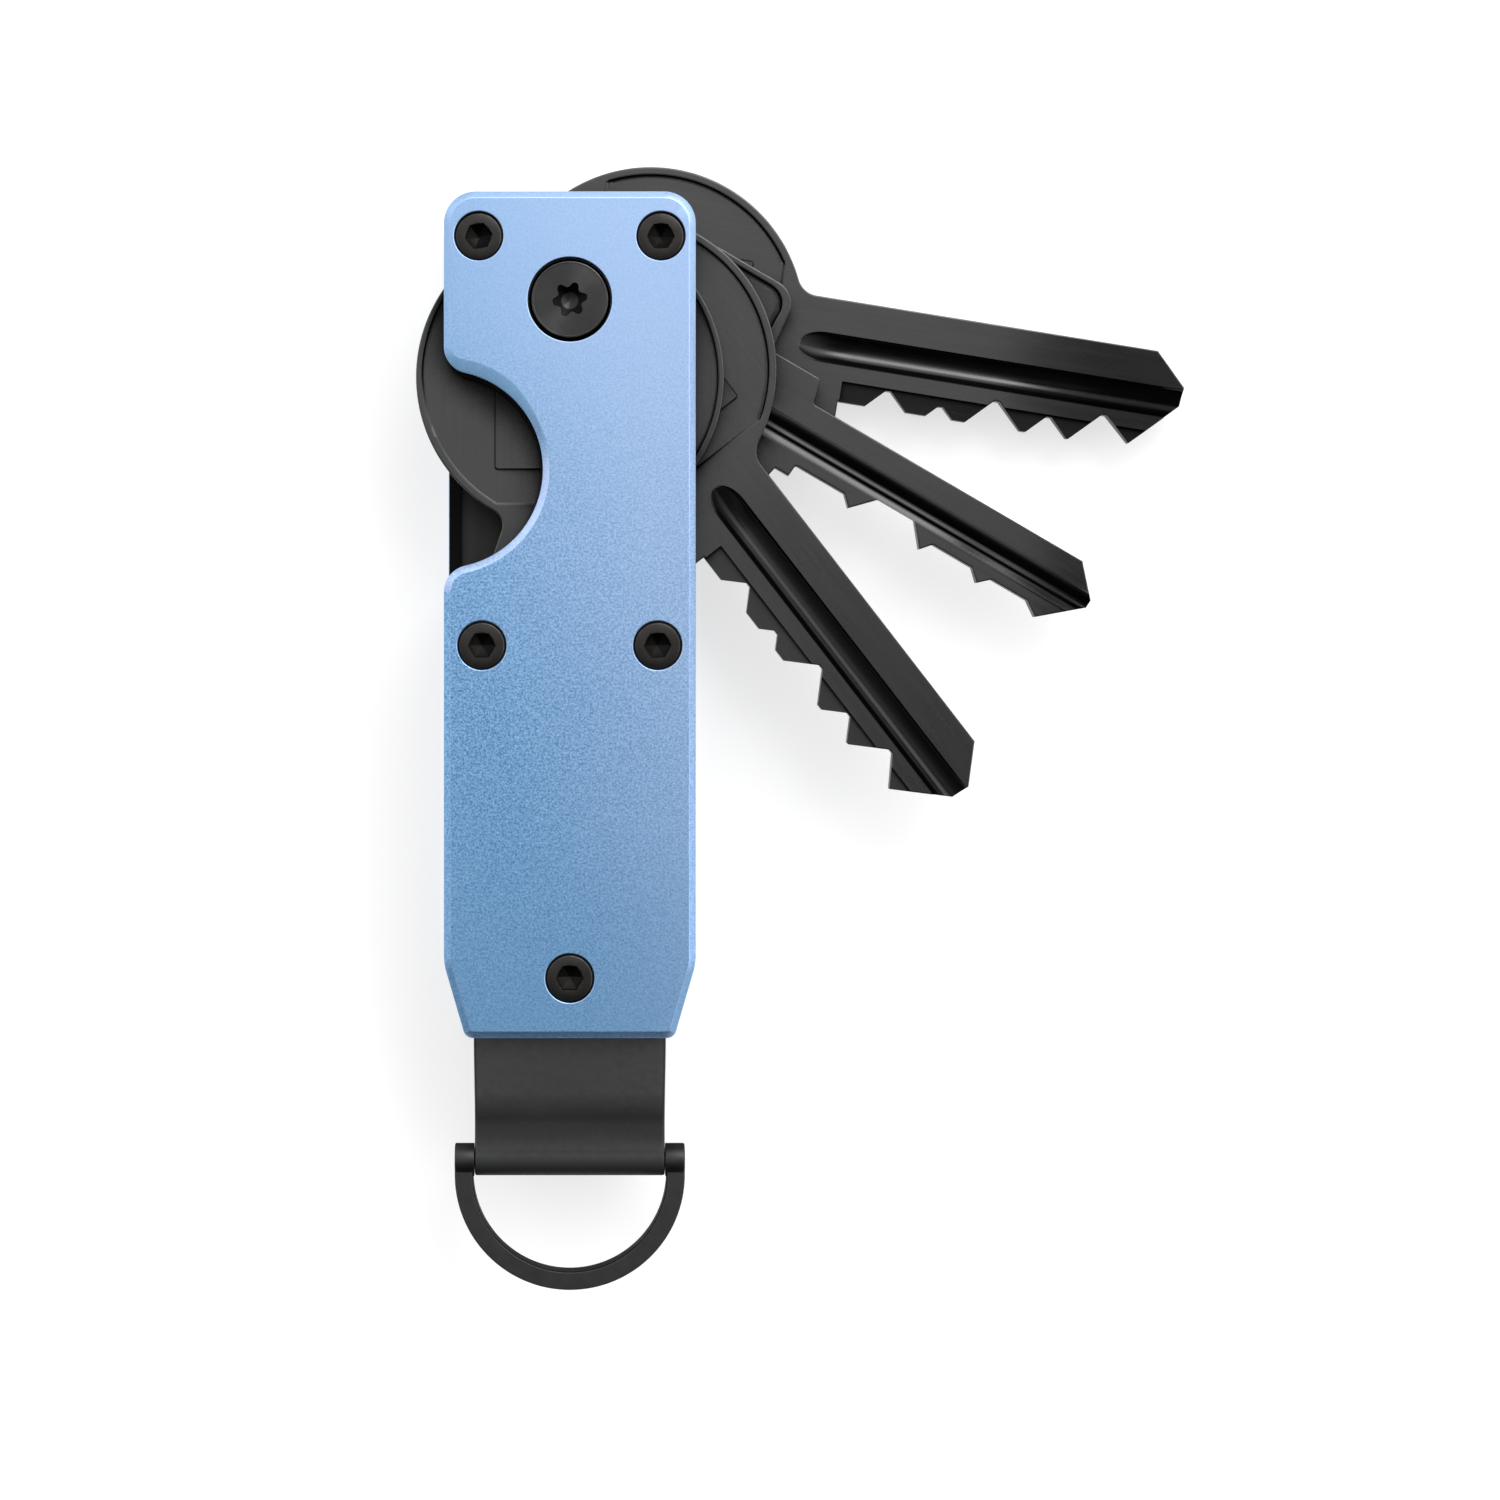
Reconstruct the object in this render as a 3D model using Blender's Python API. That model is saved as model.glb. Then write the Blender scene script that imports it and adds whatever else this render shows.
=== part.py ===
"""Pocket key holder.

Two anodised cover plates over thin steel liners make a slim case that is open on its right side. Four keys turn on
one pivot barrel near the top of the case, with thin washers between them. A strap folded round an end block carries
a D-ring at the bottom. The case lies on its back cover: +X is the open side, +Y is the pivot end, +Z is the front.
"""

import math

import bmesh
import bpy
from mathutils import Vector

MM = 0.001

# Case, in millimetres. The origin is the centre of the back cover's outer face.
CASE_LENGTH = 80.0
CASE_WIDTH = 23.8
CASE_CORNER_R = 3.0
FOOT_HALF_WIDTH = 9.85
FOOT_TAPER_START_Y = -33.0
FOOT_CORNER_R = 0.9
COVER_T = 1.8
COVER_CHAMFER = 0.65
LINER_T = 0.7
LINER_INSET = 0.2
FIT_GAP = 0.1

# Finger notch in the left side of the front cover and liner.
NOTCH_X = -11.9
NOTCH_Y = 13.75
NOTCH_R = 9.34
NOTCH_FILLET_R = 2.55
NOTCH_LINER_R = 9.12
NOTCH_LINER_Y = 13.6

# Key stack on the pivot.
PIVOT_Y = 29.76
KEY_T = 2.0
KEY_COUNT = 4
WASHER_T = 0.25
WASHER_R = 4.6
BARREL_R = 2.5
BORE_R = 2.6
PIVOT_HEAD_R = 3.87
PIVOT_SEAT_R = 3.98
PIVOT_HEAD_H = 1.15
PIVOT_SHANK_R = 1.45
PIVOT_THREAD_R = 1.6
STAR_R = 1.45
STAR_WAVE = 0.18
STAR_DEPTH = 0.8

# Small screws: top pair, middle pair, and one at the foot.
SCREW_TOP_X, SCREW_TOP_Y = 8.6, 35.75
SCREW_MID_X, SCREW_MID_Y = 8.3, -2.9
SCREW_FOOT_Y = -34.3
SCREW_HEAD_R = 2.24
SCREW_SEAT_R = 2.32
SCREW_HEAD_H = 1.1
SCREW_SHANK_R = 1.2
SCREW_HOLE_R = 1.3
HEX_ACROSS_FLATS = 2.2
HEX_DEPTH = 0.8
HEAD_SUNK = 0.1
SCREW_STEPS, PIVOT_STEPS = 20, 36

# Spine along the closed left side, with a boss for the left middle screws.
SPINE_T = 1.1
SPINE_TOP_Y = 15.0
SPINE_WALL_TOP_Y = 4.4
SPINE_FOOT_Y = -31.0
SPINE_LIP_H = 0.2
BOSS_R = 2.2

# Foot: threaded post, end block, strap and D-ring.
POST_R = 2.2
STRAP_W = 18.3
STRAP_T = 0.7
STRAP_TOP_Y = -31.6
STRAP_EXIT_Y = -39.6
STRAP_PINCH_Y = -48.5
BLOCK_W = 18.0
RING_AXIS_Y = -52.62
RING_BAR_R = 0.7
RING_EAR_R = 1.6
RING_INNER_R = 9.32
RING_OUTER_R = 11.08
RING_DROP = 1.31
RING_BOW_T = 2.4

# Heights of the stack, from the back cover's outer face upwards.
BACK_LINER_Z = COVER_T + FIT_GAP
BAY_FLOOR_Z = BACK_LINER_Z + LINER_T
STACK_PITCH = KEY_T + WASHER_T + 2 * FIT_GAP
BAY_CEILING_Z = BAY_FLOOR_Z + KEY_COUNT * STACK_PITCH + WASHER_T + 2 * FIT_GAP
FRONT_LINER_Z = BAY_CEILING_Z
FRONT_COVER_Z = FRONT_LINER_Z + LINER_T + FIT_GAP
CASE_T = FRONT_COVER_Z + COVER_T
RING_AXIS_Z = CASE_T / 2

# Round-bow key, all about the pivot hole, x along the blade and y away from the cuts.
BOW_X, BOW_Y, BOW_R = 7.95, 0.15, 14.97
BLADE_TOP_Y, BLADE_CUT_Y = 5.15, -4.66
SHOULDER_X, SHOULDER_Y = 27.2, -7.8
WAIST_Y, WAIST_R, WAIST_SLOPE = -6.4, 1.6, 18.5
TIP_X = 60.3
CUT_FIRST, CUT_PITCH, CUT_STEP, CUT_FLAT = 4.75, 5.28, 0.35, 0.5
CUT_CODE = (5, 3, 7, 5, 8)
GROOVE_X, GROOVE_Y, GROOVE_W, GROOVE_DEPTH = 22.5, 0.35, 2.88, 0.55
WARD_Y, WARD_DEPTH = -2.7, 0.4

# Square-bow key.
SQ_BACK_X, SQ_FRONT_X = -5.0, 18.97
SQ_AXIS_Y, SQ_HALF_W = 0.25, 12.06
SQ_BACK_R, SQ_FRONT_R = 6.0, 1.9
SQ_NECK_X, SQ_NECK_HALF_W = 24.5, 5.96
SQ_BLADE_TOP_Y, SQ_BLADE_CUT_Y = 3.79, -3.3
SQ_TIP_X = 57.8
SQ_CUTS = ((26.6, 32.05, 1.1), (35.2, 39.2, 2.3), (41.9, 46.3, 1.15), (48.5, 52.5, 1.1))
SQ_GROOVE_Y, SQ_GROOVE_W = 0.9, 1.1

# Keys from the front of the case to the back: node, kind, size, how far its hole is off the usual place (x, y), and
# how far it is swung out of the case.
KEYS = (
    ("key_front", "round", 0.97, (-0.7, -0.3), 0.0),
    ("key_second", "round", 0.995, (0.0, 0.0), 37.7),
    ("key_third", "square", 1.0, (0.0, 0.0), 59.7),
    ("key_back", "round", 1.0, (0.0, 0.0), 80.8),
)


# ---------------------------------------------------------------- outlines


def arc(cx, cy, r, start, end, steps):
    """Points on an arc, in degrees, both ends included."""
    turns = [math.radians(start + (end - start) * i / steps) for i in range(steps + 1)]
    return [(cx + r * math.cos(t), cy + r * math.sin(t)) for t in turns]


def rounded(corners, steps=4):
    """A closed outline from corners (x, y, radius), each corner turned into an arc."""
    out = []
    for i, (x, y, r) in enumerate(corners):
        here = Vector((x, y))
        if r <= 0:
            out.append((x, y))
            continue
        back = (Vector(corners[i - 1][:2]) - here).normalized()
        on = (Vector(corners[(i + 1) % len(corners)][:2]) - here).normalized()
        half = back.angle(on) / 2
        reach = r / math.tan(half)
        centre = here + (back + on).normalized() * (r / math.sin(half))
        first, last = here + back * reach - centre, here + on * reach - centre
        a0 = math.atan2(first.y, first.x)
        turn = math.atan2(last.y, last.x) - a0
        turn = (turn + math.pi) % (2 * math.pi) - math.pi
        for k in range(steps + 1):
            a = a0 + turn * k / steps
            out.append((centre.x + r * math.cos(a), centre.y + r * math.sin(a)))
    return out


def case_outline(inset, notch=None):
    """The case seen from the front, counter-clockwise, with the finger notch (centre y, radius) when one is given."""
    half_w, half_l = CASE_WIDTH / 2 - inset, CASE_LENGTH / 2 - inset
    foot = FOOT_HALF_WIDTH - inset
    corner = max(CASE_CORNER_R - inset, 0.5)
    right = [
        (-foot, -half_l, FOOT_CORNER_R),
        (foot, -half_l, FOOT_CORNER_R),
        (half_w, FOOT_TAPER_START_Y, 6.0),
        (half_w, half_l, corner),
        (-half_w, half_l, corner),
        (-half_w, 30.0, 0.0),
        (-half_w, 0.0, 0.0),
        (-half_w, FOOT_TAPER_START_Y, 6.0),
    ]
    points = rounded(right)
    if notch is None:
        return [p for p in points if p not in ((-half_w, 30.0), (-half_w, 0.0))]
    y, r = notch
    cx = -half_w + NOTCH_FILLET_R
    rise = math.sqrt((r + NOTCH_FILLET_R) ** 2 - (cx - NOTCH_X) ** 2)
    lean = math.degrees(math.atan2(rise, cx - NOTCH_X))
    cutout = (
        arc(cx, y + rise, NOTCH_FILLET_R, 180, 180 + lean, 5)
        + arc(NOTCH_X, y, r, lean, -lean, 20)[1:-1]
        + arc(cx, y - rise, NOTCH_FILLET_R, 180 - lean, 180, 5)
    )
    at = points.index((-half_w, 30.0))
    return points[:at] + cutout + points[at + 2 :]


def round_key_outline(size):
    """Round bow, single-sided blade with five V cuts."""
    fillet = 2.2
    fy = BLADE_TOP_Y + fillet
    fx = BOW_X + math.sqrt((BOW_R + fillet) ** 2 - (fy - BOW_Y) ** 2)
    top = math.degrees(math.atan2(fy - BOW_Y, fx - BOW_X))
    wy = WAIST_Y - WAIST_R
    wx = BOW_X + math.sqrt((BOW_R + WAIST_R) ** 2 - (wy - BOW_Y) ** 2)
    low = math.degrees(math.atan2(BOW_Y - wy, wx - BOW_X))
    bow = arc(BOW_X, BOW_Y, BOW_R, top, 360 - low, 44)
    waist = arc(wx, wy, WAIST_R, 180 - low, 90 - WAIST_SLOPE, 5)[1:]
    shoulder = [(SHOULDER_X - 0.5, SHOULDER_Y), (SHOULDER_X, SHOULDER_Y + 0.3), (SHOULDER_X, BLADE_CUT_Y)]
    edge = []
    for n, code in enumerate(CUT_CODE):
        x, depth = SHOULDER_X + CUT_FIRST + n * CUT_PITCH, code * CUT_STEP
        left, right = x - CUT_FLAT / 2, x + CUT_FLAT / 2
        edge += [(left - depth, BLADE_CUT_Y), (left, BLADE_CUT_Y + depth)]
        edge += [(right, BLADE_CUT_Y + depth), (right + depth, BLADE_CUT_Y)]
    # The last flank meets the slanted tip in a tooth just above the blade's edge.
    edge[-1] = (TIP_X - 4.46, BLADE_CUT_Y + 0.49)
    tip = [(TIP_X - 0.1, 0.2), (TIP_X, 2.0), (TIP_X - 3.1, BLADE_TOP_Y)]
    neck = arc(fx, fy, fillet, 270, 180 + top, 5)
    return [(x * size, y * size) for x, y in bow + waist + shoulder + edge + tip + neck[:-1]]


def square_key_outline(size):
    """Squared bow with rounded corners, a short neck, and a blade with flat cuts and pointed teeth."""
    top, low = SQ_AXIS_Y + SQ_HALF_W, SQ_AXIS_Y - SQ_HALF_W
    neck_top, neck_low = SQ_AXIS_Y + SQ_NECK_HALF_W, SQ_AXIS_Y - SQ_NECK_HALF_W
    corners = [
        (SQ_FRONT_X - 0.3, top, SQ_FRONT_R),
        (SQ_BACK_X, top, SQ_BACK_R),
        (SQ_BACK_X, low, SQ_BACK_R),
        (SQ_FRONT_X - 0.3, low, SQ_FRONT_R),
        (SQ_FRONT_X, neck_low, 0.5),
        (SQ_NECK_X, neck_low, 0.4),
        (SQ_NECK_X + 0.5, SQ_BLADE_CUT_Y - 0.1, 0.0),
        (SQ_CUTS[0][0] - 0.1, SQ_BLADE_CUT_Y - 0.1, 0.0),
    ]
    for start, end, depth in SQ_CUTS:
        corners += [(start, SQ_BLADE_CUT_Y + depth, 0.0), (end, SQ_BLADE_CUT_Y + depth, 0.0)]
        if end < 52:
            following = SQ_CUTS[SQ_CUTS.index((start, end, depth)) + 1]
            share = depth / (depth + following[2])
            corners.append((end + (following[0] - end) * share, SQ_BLADE_CUT_Y + 0.1, 0.0))
    corners += [
        (SQ_TIP_X - 3.86, SQ_BLADE_CUT_Y + 0.1, 0.0),
        (SQ_TIP_X, 0.1, 0.0),
        (SQ_TIP_X, 0.9, 0.0),
        (SQ_TIP_X - 2.6, SQ_BLADE_TOP_Y, 0.0),
        (SQ_NECK_X + 0.5, SQ_BLADE_TOP_Y, 0.5),
        (SQ_NECK_X, neck_top, 0.4),
        (SQ_FRONT_X, neck_top, 0.5),
    ]
    return [(x * size, y * size) for x, y in rounded(corners)]


def strap_centreline():
    """The front half of the strap's path as (y, z) below the ring axis height, from inside the case to the loop's lowest point."""
    reach = BAY_CEILING_Z - FIT_GAP - STRAP_T / 2 - RING_AXIS_Z
    loop_r = RING_BAR_R + FIT_GAP + STRAP_T / 2
    pinch = STRAP_T / 2 + 0.06

    def bezier(a, b, c, d, n):
        out = []
        for i in range(1, n + 1):
            t = i / n
            w = ((1 - t) ** 3, 3 * t * (1 - t) ** 2, 3 * t * t * (1 - t), t**3)
            out.append(tuple(sum(k * p[j] for k, p in zip(w, (a, b, c, d))) for j in (0, 1)))
        return out

    start = (STRAP_EXIT_Y, reach)
    knee = (STRAP_PINCH_Y, pinch)
    meet = math.radians(50)
    touch = (RING_AXIS_Y + loop_r * math.cos(meet), loop_r * math.sin(meet))
    along = Vector((-math.sin(meet), math.cos(meet)))
    line = [(STRAP_TOP_Y, reach), start]
    line += bezier(start, (STRAP_EXIT_Y - 2.6, reach), (STRAP_PINCH_Y + 3.6, pinch + 0.75), knee, 9)
    line += bezier(
        knee,
        (STRAP_PINCH_Y - 1.2, pinch - 0.02),
        (touch[0] - along.x * 1.0, touch[1] - along.y * 1.0),
        touch,
        6,
    )
    for i in range(1, 9):
        t = meet + (math.pi - meet) * i / 8
        line.append((RING_AXIS_Y + loop_r * math.cos(t), loop_r * math.sin(t)))
    line[-1] = (RING_AXIS_Y - loop_r, 0.0)
    return line


# ---------------------------------------------------------------- solids


def add(name, bm, material, where=(0, 0, 0), turn=0.0, parent=None, smooth=35):
    """A mesh object from a bmesh in millimetres, moved from the world position `where`, which becomes its origin."""
    bmesh.ops.recalc_face_normals(bm, faces=bm.faces)
    bmesh.ops.scale(bm, vec=(MM, MM, MM), verts=bm.verts)
    mesh = bpy.data.meshes.new(name)
    bm.to_mesh(mesh)
    bm.free()
    mesh.shade_smooth()
    mesh.set_sharp_from_angle(angle=math.radians(smooth))
    obj = bpy.data.objects.new(name, mesh)
    bpy.context.scene.collection.objects.link(obj)
    obj.location = Vector(where) * MM
    obj.rotation_euler.z = math.radians(turn)
    if material:
        mesh.materials.append(material)
    if parent:
        obj.parent = parent
    return obj


def prism(outline, z0, z1, chamfer_top=0.0, chamfer_low=0.0):
    """An outline raised from z0 to z1, with its top or bottom rim chamfered."""
    bm = bmesh.new()
    face = bm.faces.new([bm.verts.new((x, y, z0)) for x, y in outline])
    made = bmesh.ops.extrude_face_region(bm, geom=[face])["geom"]
    rise = [v for v in made if isinstance(v, bmesh.types.BMVert)]
    bmesh.ops.translate(bm, vec=(0, 0, z1 - z0), verts=rise)
    for z, width in ((z1, chamfer_top), (z0, chamfer_low)):
        if width > 0:
            rim = [e for e in bm.edges if all(abs(v.co.z - z) < 1e-5 for v in e.verts)]
            bmesh.ops.bevel(bm, geom=rim, offset=width, segments=1, profile=0.5, affect="EDGES")
    return bm


def turned(profile, x=0.0, y=0.0, steps=PIVOT_STEPS, bm=None):
    """A turned solid: profile points (radius, z) spun about the upright line through x, y."""
    bm = bm or bmesh.new()
    verts = [bm.verts.new((x + r, y, z)) for r, z in profile]
    edges = [bm.edges.new(pair) for pair in zip(verts, verts[1:])]
    if profile[0][0] > 0 and profile[-1][0] > 0:
        edges.append(bm.edges.new((verts[-1], verts[0])))
    bmesh.ops.spin(
        bm, geom=verts + edges, cent=(x, y, 0), axis=(0, 0, 1), angle=2 * math.pi, steps=steps, use_merge=True
    )
    bmesh.ops.remove_doubles(bm, verts=bm.verts, dist=1e-5)
    return bm


def cutter(name, bm, parent=None, where=(0, 0, 0)):
    obj = add(name, bm, None, where=where, parent=parent)
    obj.hide_render = True
    obj.display_type = "WIRE"
    return obj


def cut(obj, tool):
    step = obj.modifiers.new(tool.name, "BOOLEAN")
    step.operation = "DIFFERENCE"
    step.solver = "EXACT"
    step.object = tool


def unite(obj, tool):
    step = obj.modifiers.new(tool.name, "BOOLEAN")
    step.operation = "UNION"
    step.solver = "EXACT"
    step.object = tool


def material(name, colour, roughness, metallic):
    mat = bpy.data.materials.new(name)
    mat.use_nodes = True
    shader = mat.node_tree.nodes["Principled BSDF"]
    shader.inputs["Base Color"].default_value = (*colour, 1)
    shader.inputs["Roughness"].default_value = roughness
    shader.inputs["Metallic"].default_value = metallic
    mat.diffuse_color = (*colour, 1)
    return mat


def seat_tool(x, y, face_z, floor_z, far_z, head_r, hole_r, steps, bm):
    """A stepped cutter: a screw's seat from the face down to its floor, then its hole through to far_z."""
    over = 1.0 if face_z > floor_z else -1.0
    stack = [(0.0, face_z + over), (head_r, face_z + over), (head_r, floor_z), (hole_r, floor_z), (hole_r, far_z), (0.0, far_z)]
    return turned(stack, x, y, steps, bm)


def screw_solid(x, y, face_z, tip_z, head_r, head_h, shank_r, steps):
    """A low-head screw whose head's face is at face_z and whose shank ends at tip_z, with small edge chamfers."""
    s = 1.0 if face_z > tip_z else -1.0
    under = face_z - s * head_h
    profile = [
        (0.0, face_z),
        (head_r - 0.22, face_z),
        (head_r, face_z - s * 0.22),
        (head_r, under),
        (shank_r, under),
        (shank_r, tip_z + s * 0.2),
        (shank_r - 0.2, tip_z),
        (0.0, tip_z),
    ]
    return turned(profile, x, y, steps)


def main():
    for old in list(bpy.data.objects):
        bpy.data.objects.remove(old, do_unlink=True)

    anodised = material("anodised_blue", (0.30, 0.50, 0.80), 0.42, 1.0)
    liner_steel = material("liner_steel", (0.045, 0.045, 0.05), 0.5, 1.0)
    spine_black = material("spine_polymer", (0.012, 0.012, 0.013), 0.55, 0.0)
    screw_black = material("screw_black", (0.03, 0.028, 0.027), 0.38, 1.0)
    pivot_black = material("pivot_black", (0.035, 0.035, 0.037), 0.3, 1.0)
    washer_metal = material("washer_bronze", (0.35, 0.22, 0.1), 0.35, 1.0)
    key_metal = material("key_gunmetal", (0.07, 0.07, 0.072), 0.35, 1.0)
    strap_leather = material("strap_leather", (0.04, 0.04, 0.042), 0.6, 0.0)
    block_polymer = material("block_polymer", (0.02, 0.02, 0.022), 0.6, 0.0)
    ring_metal = material("ring_black", (0.05, 0.05, 0.052), 0.35, 1.0)

    # Covers and liners.
    back_cover = add("back_cover", prism(case_outline(0.0), 0.0, COVER_T, chamfer_low=COVER_CHAMFER), anodised)
    back_liner = add("back_liner", prism(case_outline(LINER_INSET), BACK_LINER_Z, BAY_FLOOR_Z), liner_steel)
    front_liner = add(
        "front_liner",
        prism(case_outline(LINER_INSET, (NOTCH_LINER_Y, NOTCH_LINER_R)), FRONT_LINER_Z, FRONT_LINER_Z + LINER_T),
        liner_steel,
    )
    front_cover = add(
        "front_cover",
        prism(case_outline(0.0, (NOTCH_Y, NOTCH_R)), FRONT_COVER_Z, CASE_T, chamfer_top=COVER_CHAMFER),
        anodised,
    )

    # Screw places: name, x, y, how deep the shank reaches below the covers' inner sides.
    places = (
        ("top_left", -SCREW_TOP_X, SCREW_TOP_Y, LINER_T + FIT_GAP),
        ("top_right", SCREW_TOP_X, SCREW_TOP_Y, LINER_T + FIT_GAP),
        ("middle_left", -SCREW_MID_X, SCREW_MID_Y, 4.0),
        ("middle_right", SCREW_MID_X, SCREW_MID_Y, LINER_T + FIT_GAP),
        ("end", 0.0, SCREW_FOOT_Y, 4.6),
    )
    seat_floor = CASE_T - HEAD_SUNK - SCREW_HEAD_H - FIT_GAP
    front_seats, back_seats = bmesh.new(), bmesh.new()
    for _, x, y, _ in places:
        seat_tool(x, y, CASE_T, seat_floor, BAY_CEILING_Z - 1, SCREW_SEAT_R, SCREW_HOLE_R, SCREW_STEPS, front_seats)
        seat_tool(x, y, 0.0, CASE_T - seat_floor, BAY_FLOOR_Z + 1, SCREW_SEAT_R, SCREW_HOLE_R, SCREW_STEPS, back_seats)
    pivot_floor = CASE_T - HEAD_SUNK - PIVOT_HEAD_H - FIT_GAP
    seat_tool(0, PIVOT_Y, CASE_T, pivot_floor, BAY_CEILING_Z - 1, PIVOT_SEAT_R, BORE_R, PIVOT_STEPS, front_seats)
    seat_tool(0, PIVOT_Y, 0.0, CASE_T - pivot_floor, BAY_FLOOR_Z + 1, PIVOT_SEAT_R, BORE_R, PIVOT_STEPS, back_seats)
    front_seats = cutter("tool_front_seats", front_seats)
    back_seats = cutter("tool_back_seats", back_seats)
    for plate in (front_cover, front_liner):
        cut(plate, front_seats)
    for plate in (back_cover, back_liner):
        cut(plate, back_seats)

    # Screws, each with a hex socket.
    for side, face, s in (("front", CASE_T - HEAD_SUNK, 1.0), ("back", HEAD_SUNK, -1.0)):
        inner = FRONT_COVER_Z if s > 0 else COVER_T
        for name, x, y, reach in places:
            screw = add(
                f"{side}_screw_{name}",
                screw_solid(x, y, face, inner - s * (reach - 0.1), SCREW_HEAD_R, SCREW_HEAD_H, SCREW_SHANK_R, SCREW_STEPS),
                screw_black,
            )
            corner = HEX_ACROSS_FLATS / math.sqrt(3)
            hexagon = arc(x, y, corner, 0, 300, 5)
            low, high = sorted((face - s * HEX_DEPTH, face + s * 0.5))
            cut(screw, cutter(f"tool_hex_{side}_{name}", prism(hexagon, low, high)))

    # Pivot: a barrel with its head in the back cover, and the star screw that closes it from the front.
    barrel_top = FRONT_COVER_Z + 0.35
    barrel = turned(
        [
            (0.0, HEAD_SUNK),
            (PIVOT_HEAD_R - 0.25, HEAD_SUNK),
            (PIVOT_HEAD_R, HEAD_SUNK + 0.25),
            (PIVOT_HEAD_R, HEAD_SUNK + PIVOT_HEAD_H),
            (BARREL_R, HEAD_SUNK + PIVOT_HEAD_H),
            (BARREL_R, barrel_top),
            (PIVOT_THREAD_R, barrel_top),
            (PIVOT_THREAD_R, 4.0),
            (0.0, 4.0),
        ],
        0.0,
        PIVOT_Y,
    )
    add("pivot_barrel", barrel, pivot_black)
    pivot_screw = add(
        "pivot_screw",
        screw_solid(0.0, PIVOT_Y, CASE_T - HEAD_SUNK, 6.0, PIVOT_HEAD_R, PIVOT_HEAD_H, PIVOT_SHANK_R, PIVOT_STEPS),
        pivot_black,
    )
    star = []
    for i in range(36):
        t = 2 * math.pi * i / 36
        r = STAR_R + STAR_WAVE * math.cos(6 * t)
        star.append((r * math.cos(t), PIVOT_Y + r * math.sin(t)))
    cut(pivot_screw, cutter("tool_star", prism(star, CASE_T - HEAD_SUNK - STAR_DEPTH, CASE_T + 0.5)))

    # Washers, under the first key and between and over the others.
    for n in range(KEY_COUNT + 1):
        z = BAY_FLOOR_Z + FIT_GAP + n * STACK_PITCH
        ring = [(WASHER_R, z + WASHER_T), (WASHER_R, z), (BORE_R, z), (BORE_R, z + WASHER_T)]
        add(f"washer_{n + 1}", turned(ring, 0.0, PIVOT_Y), washer_metal)

    # Spine: a wall along the left side, low where the notch and the bows pass, with a boss for two screws.
    left = -CASE_WIDTH / 2 + 0.1
    floor, ceiling = BAY_FLOOR_Z + FIT_GAP, BAY_CEILING_Z - FIT_GAP
    wall = [
        (left, SPINE_FOOT_Y),
        (left + SPINE_T, SPINE_FOOT_Y),
        (left + SPINE_T, SCREW_MID_Y - 3.2),
        (left + 2.0, SCREW_MID_Y - 1.9),
        (left + 2.0, SCREW_MID_Y + 1.9),
        (left + SPINE_T, SCREW_MID_Y + 3.2),
        (left + SPINE_T, SPINE_TOP_Y),
        (left, SPINE_TOP_Y),
    ]
    spine = add("spine", prism(wall, floor, ceiling), spine_black)
    unite(spine, cutter("tool_boss", prism(arc(-SCREW_MID_X, SCREW_MID_Y, BOSS_R, 0, 345, 23), floor, ceiling)))
    lip = prism(
        rounded(
            [
                (left - 1, SPINE_WALL_TOP_Y - 1.0, 0.0),
                (left + SPINE_T + 1, SPINE_WALL_TOP_Y, 0.0),
                (left + SPINE_T + 1, SPINE_TOP_Y + 1, 0.0),
                (left - 1, SPINE_TOP_Y + 1, 0.0),
            ]
        ),
        floor + SPINE_LIP_H,
        ceiling + 1,
    )
    cut(spine, cutter("tool_spine_notch", lip))
    cut(spine, cutter("tool_boss_bore", turned(
        [(0.0, ceiling + 1), (SCREW_HOLE_R, ceiling + 1), (SCREW_HOLE_R, floor - 1), (0.0, floor - 1)],
        -SCREW_MID_X, SCREW_MID_Y, 24)))

    # Foot: threaded post, block, strap.
    post = [(POST_R, ceiling), (POST_R, floor), (SCREW_HOLE_R, floor), (SCREW_HOLE_R, ceiling)]
    add("end_post", turned(post, 0.0, SCREW_FOOT_Y, 32), screw_black)
    post_hole = cutter("tool_post_hole", turned(
        [(0.0, CASE_T), (POST_R + FIT_GAP, CASE_T), (POST_R + FIT_GAP, 0.0), (0.0, 0.0)], 0.0, SCREW_FOOT_Y, 32))
    block_outline = rounded(
        [
            (-BLOCK_W / 2, -39.0, 0.6),
            (BLOCK_W / 2, -39.0, 0.6),
            (BLOCK_W / 2, STRAP_TOP_Y + 0.2, 0.6),
            (-BLOCK_W / 2, STRAP_TOP_Y + 0.2, 0.6),
        ]
    )
    block = add(
        "end_block",
        prism(block_outline, floor + STRAP_T + FIT_GAP, ceiling - STRAP_T - FIT_GAP, 0.4, 0.4),
        block_polymer,
    )
    cut(block, post_hole)

    line = strap_centreline()
    half = [(y, z) for y, z in line]
    whole = half + [(y, -z) for y, z in reversed(half[:-1])]
    outer, inner = [], []
    for i, (y, z) in enumerate(whole):
        before, after = Vector(whole[max(i - 1, 0)]), Vector(whole[min(i + 1, len(whole) - 1)])
        along = (after - before).normalized()
        side = Vector((-along.y, along.x)) * STRAP_T / 2
        outer.append((y - side.x, z - side.y))
        inner.append((y + side.x, z + side.y))
    bm = bmesh.new()
    face = bm.faces.new([bm.verts.new((-STRAP_W / 2, y, RING_AXIS_Z + z)) for y, z in outer + inner[::-1]])
    made = bmesh.ops.extrude_face_region(bm, geom=[face])["geom"]
    bmesh.ops.translate(bm, vec=(STRAP_W, 0, 0), verts=[v for v in made if isinstance(v, bmesh.types.BMVert)])
    strap = add("strap", bm, strap_leather, smooth=50)
    cut(strap, post_hole)

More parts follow.
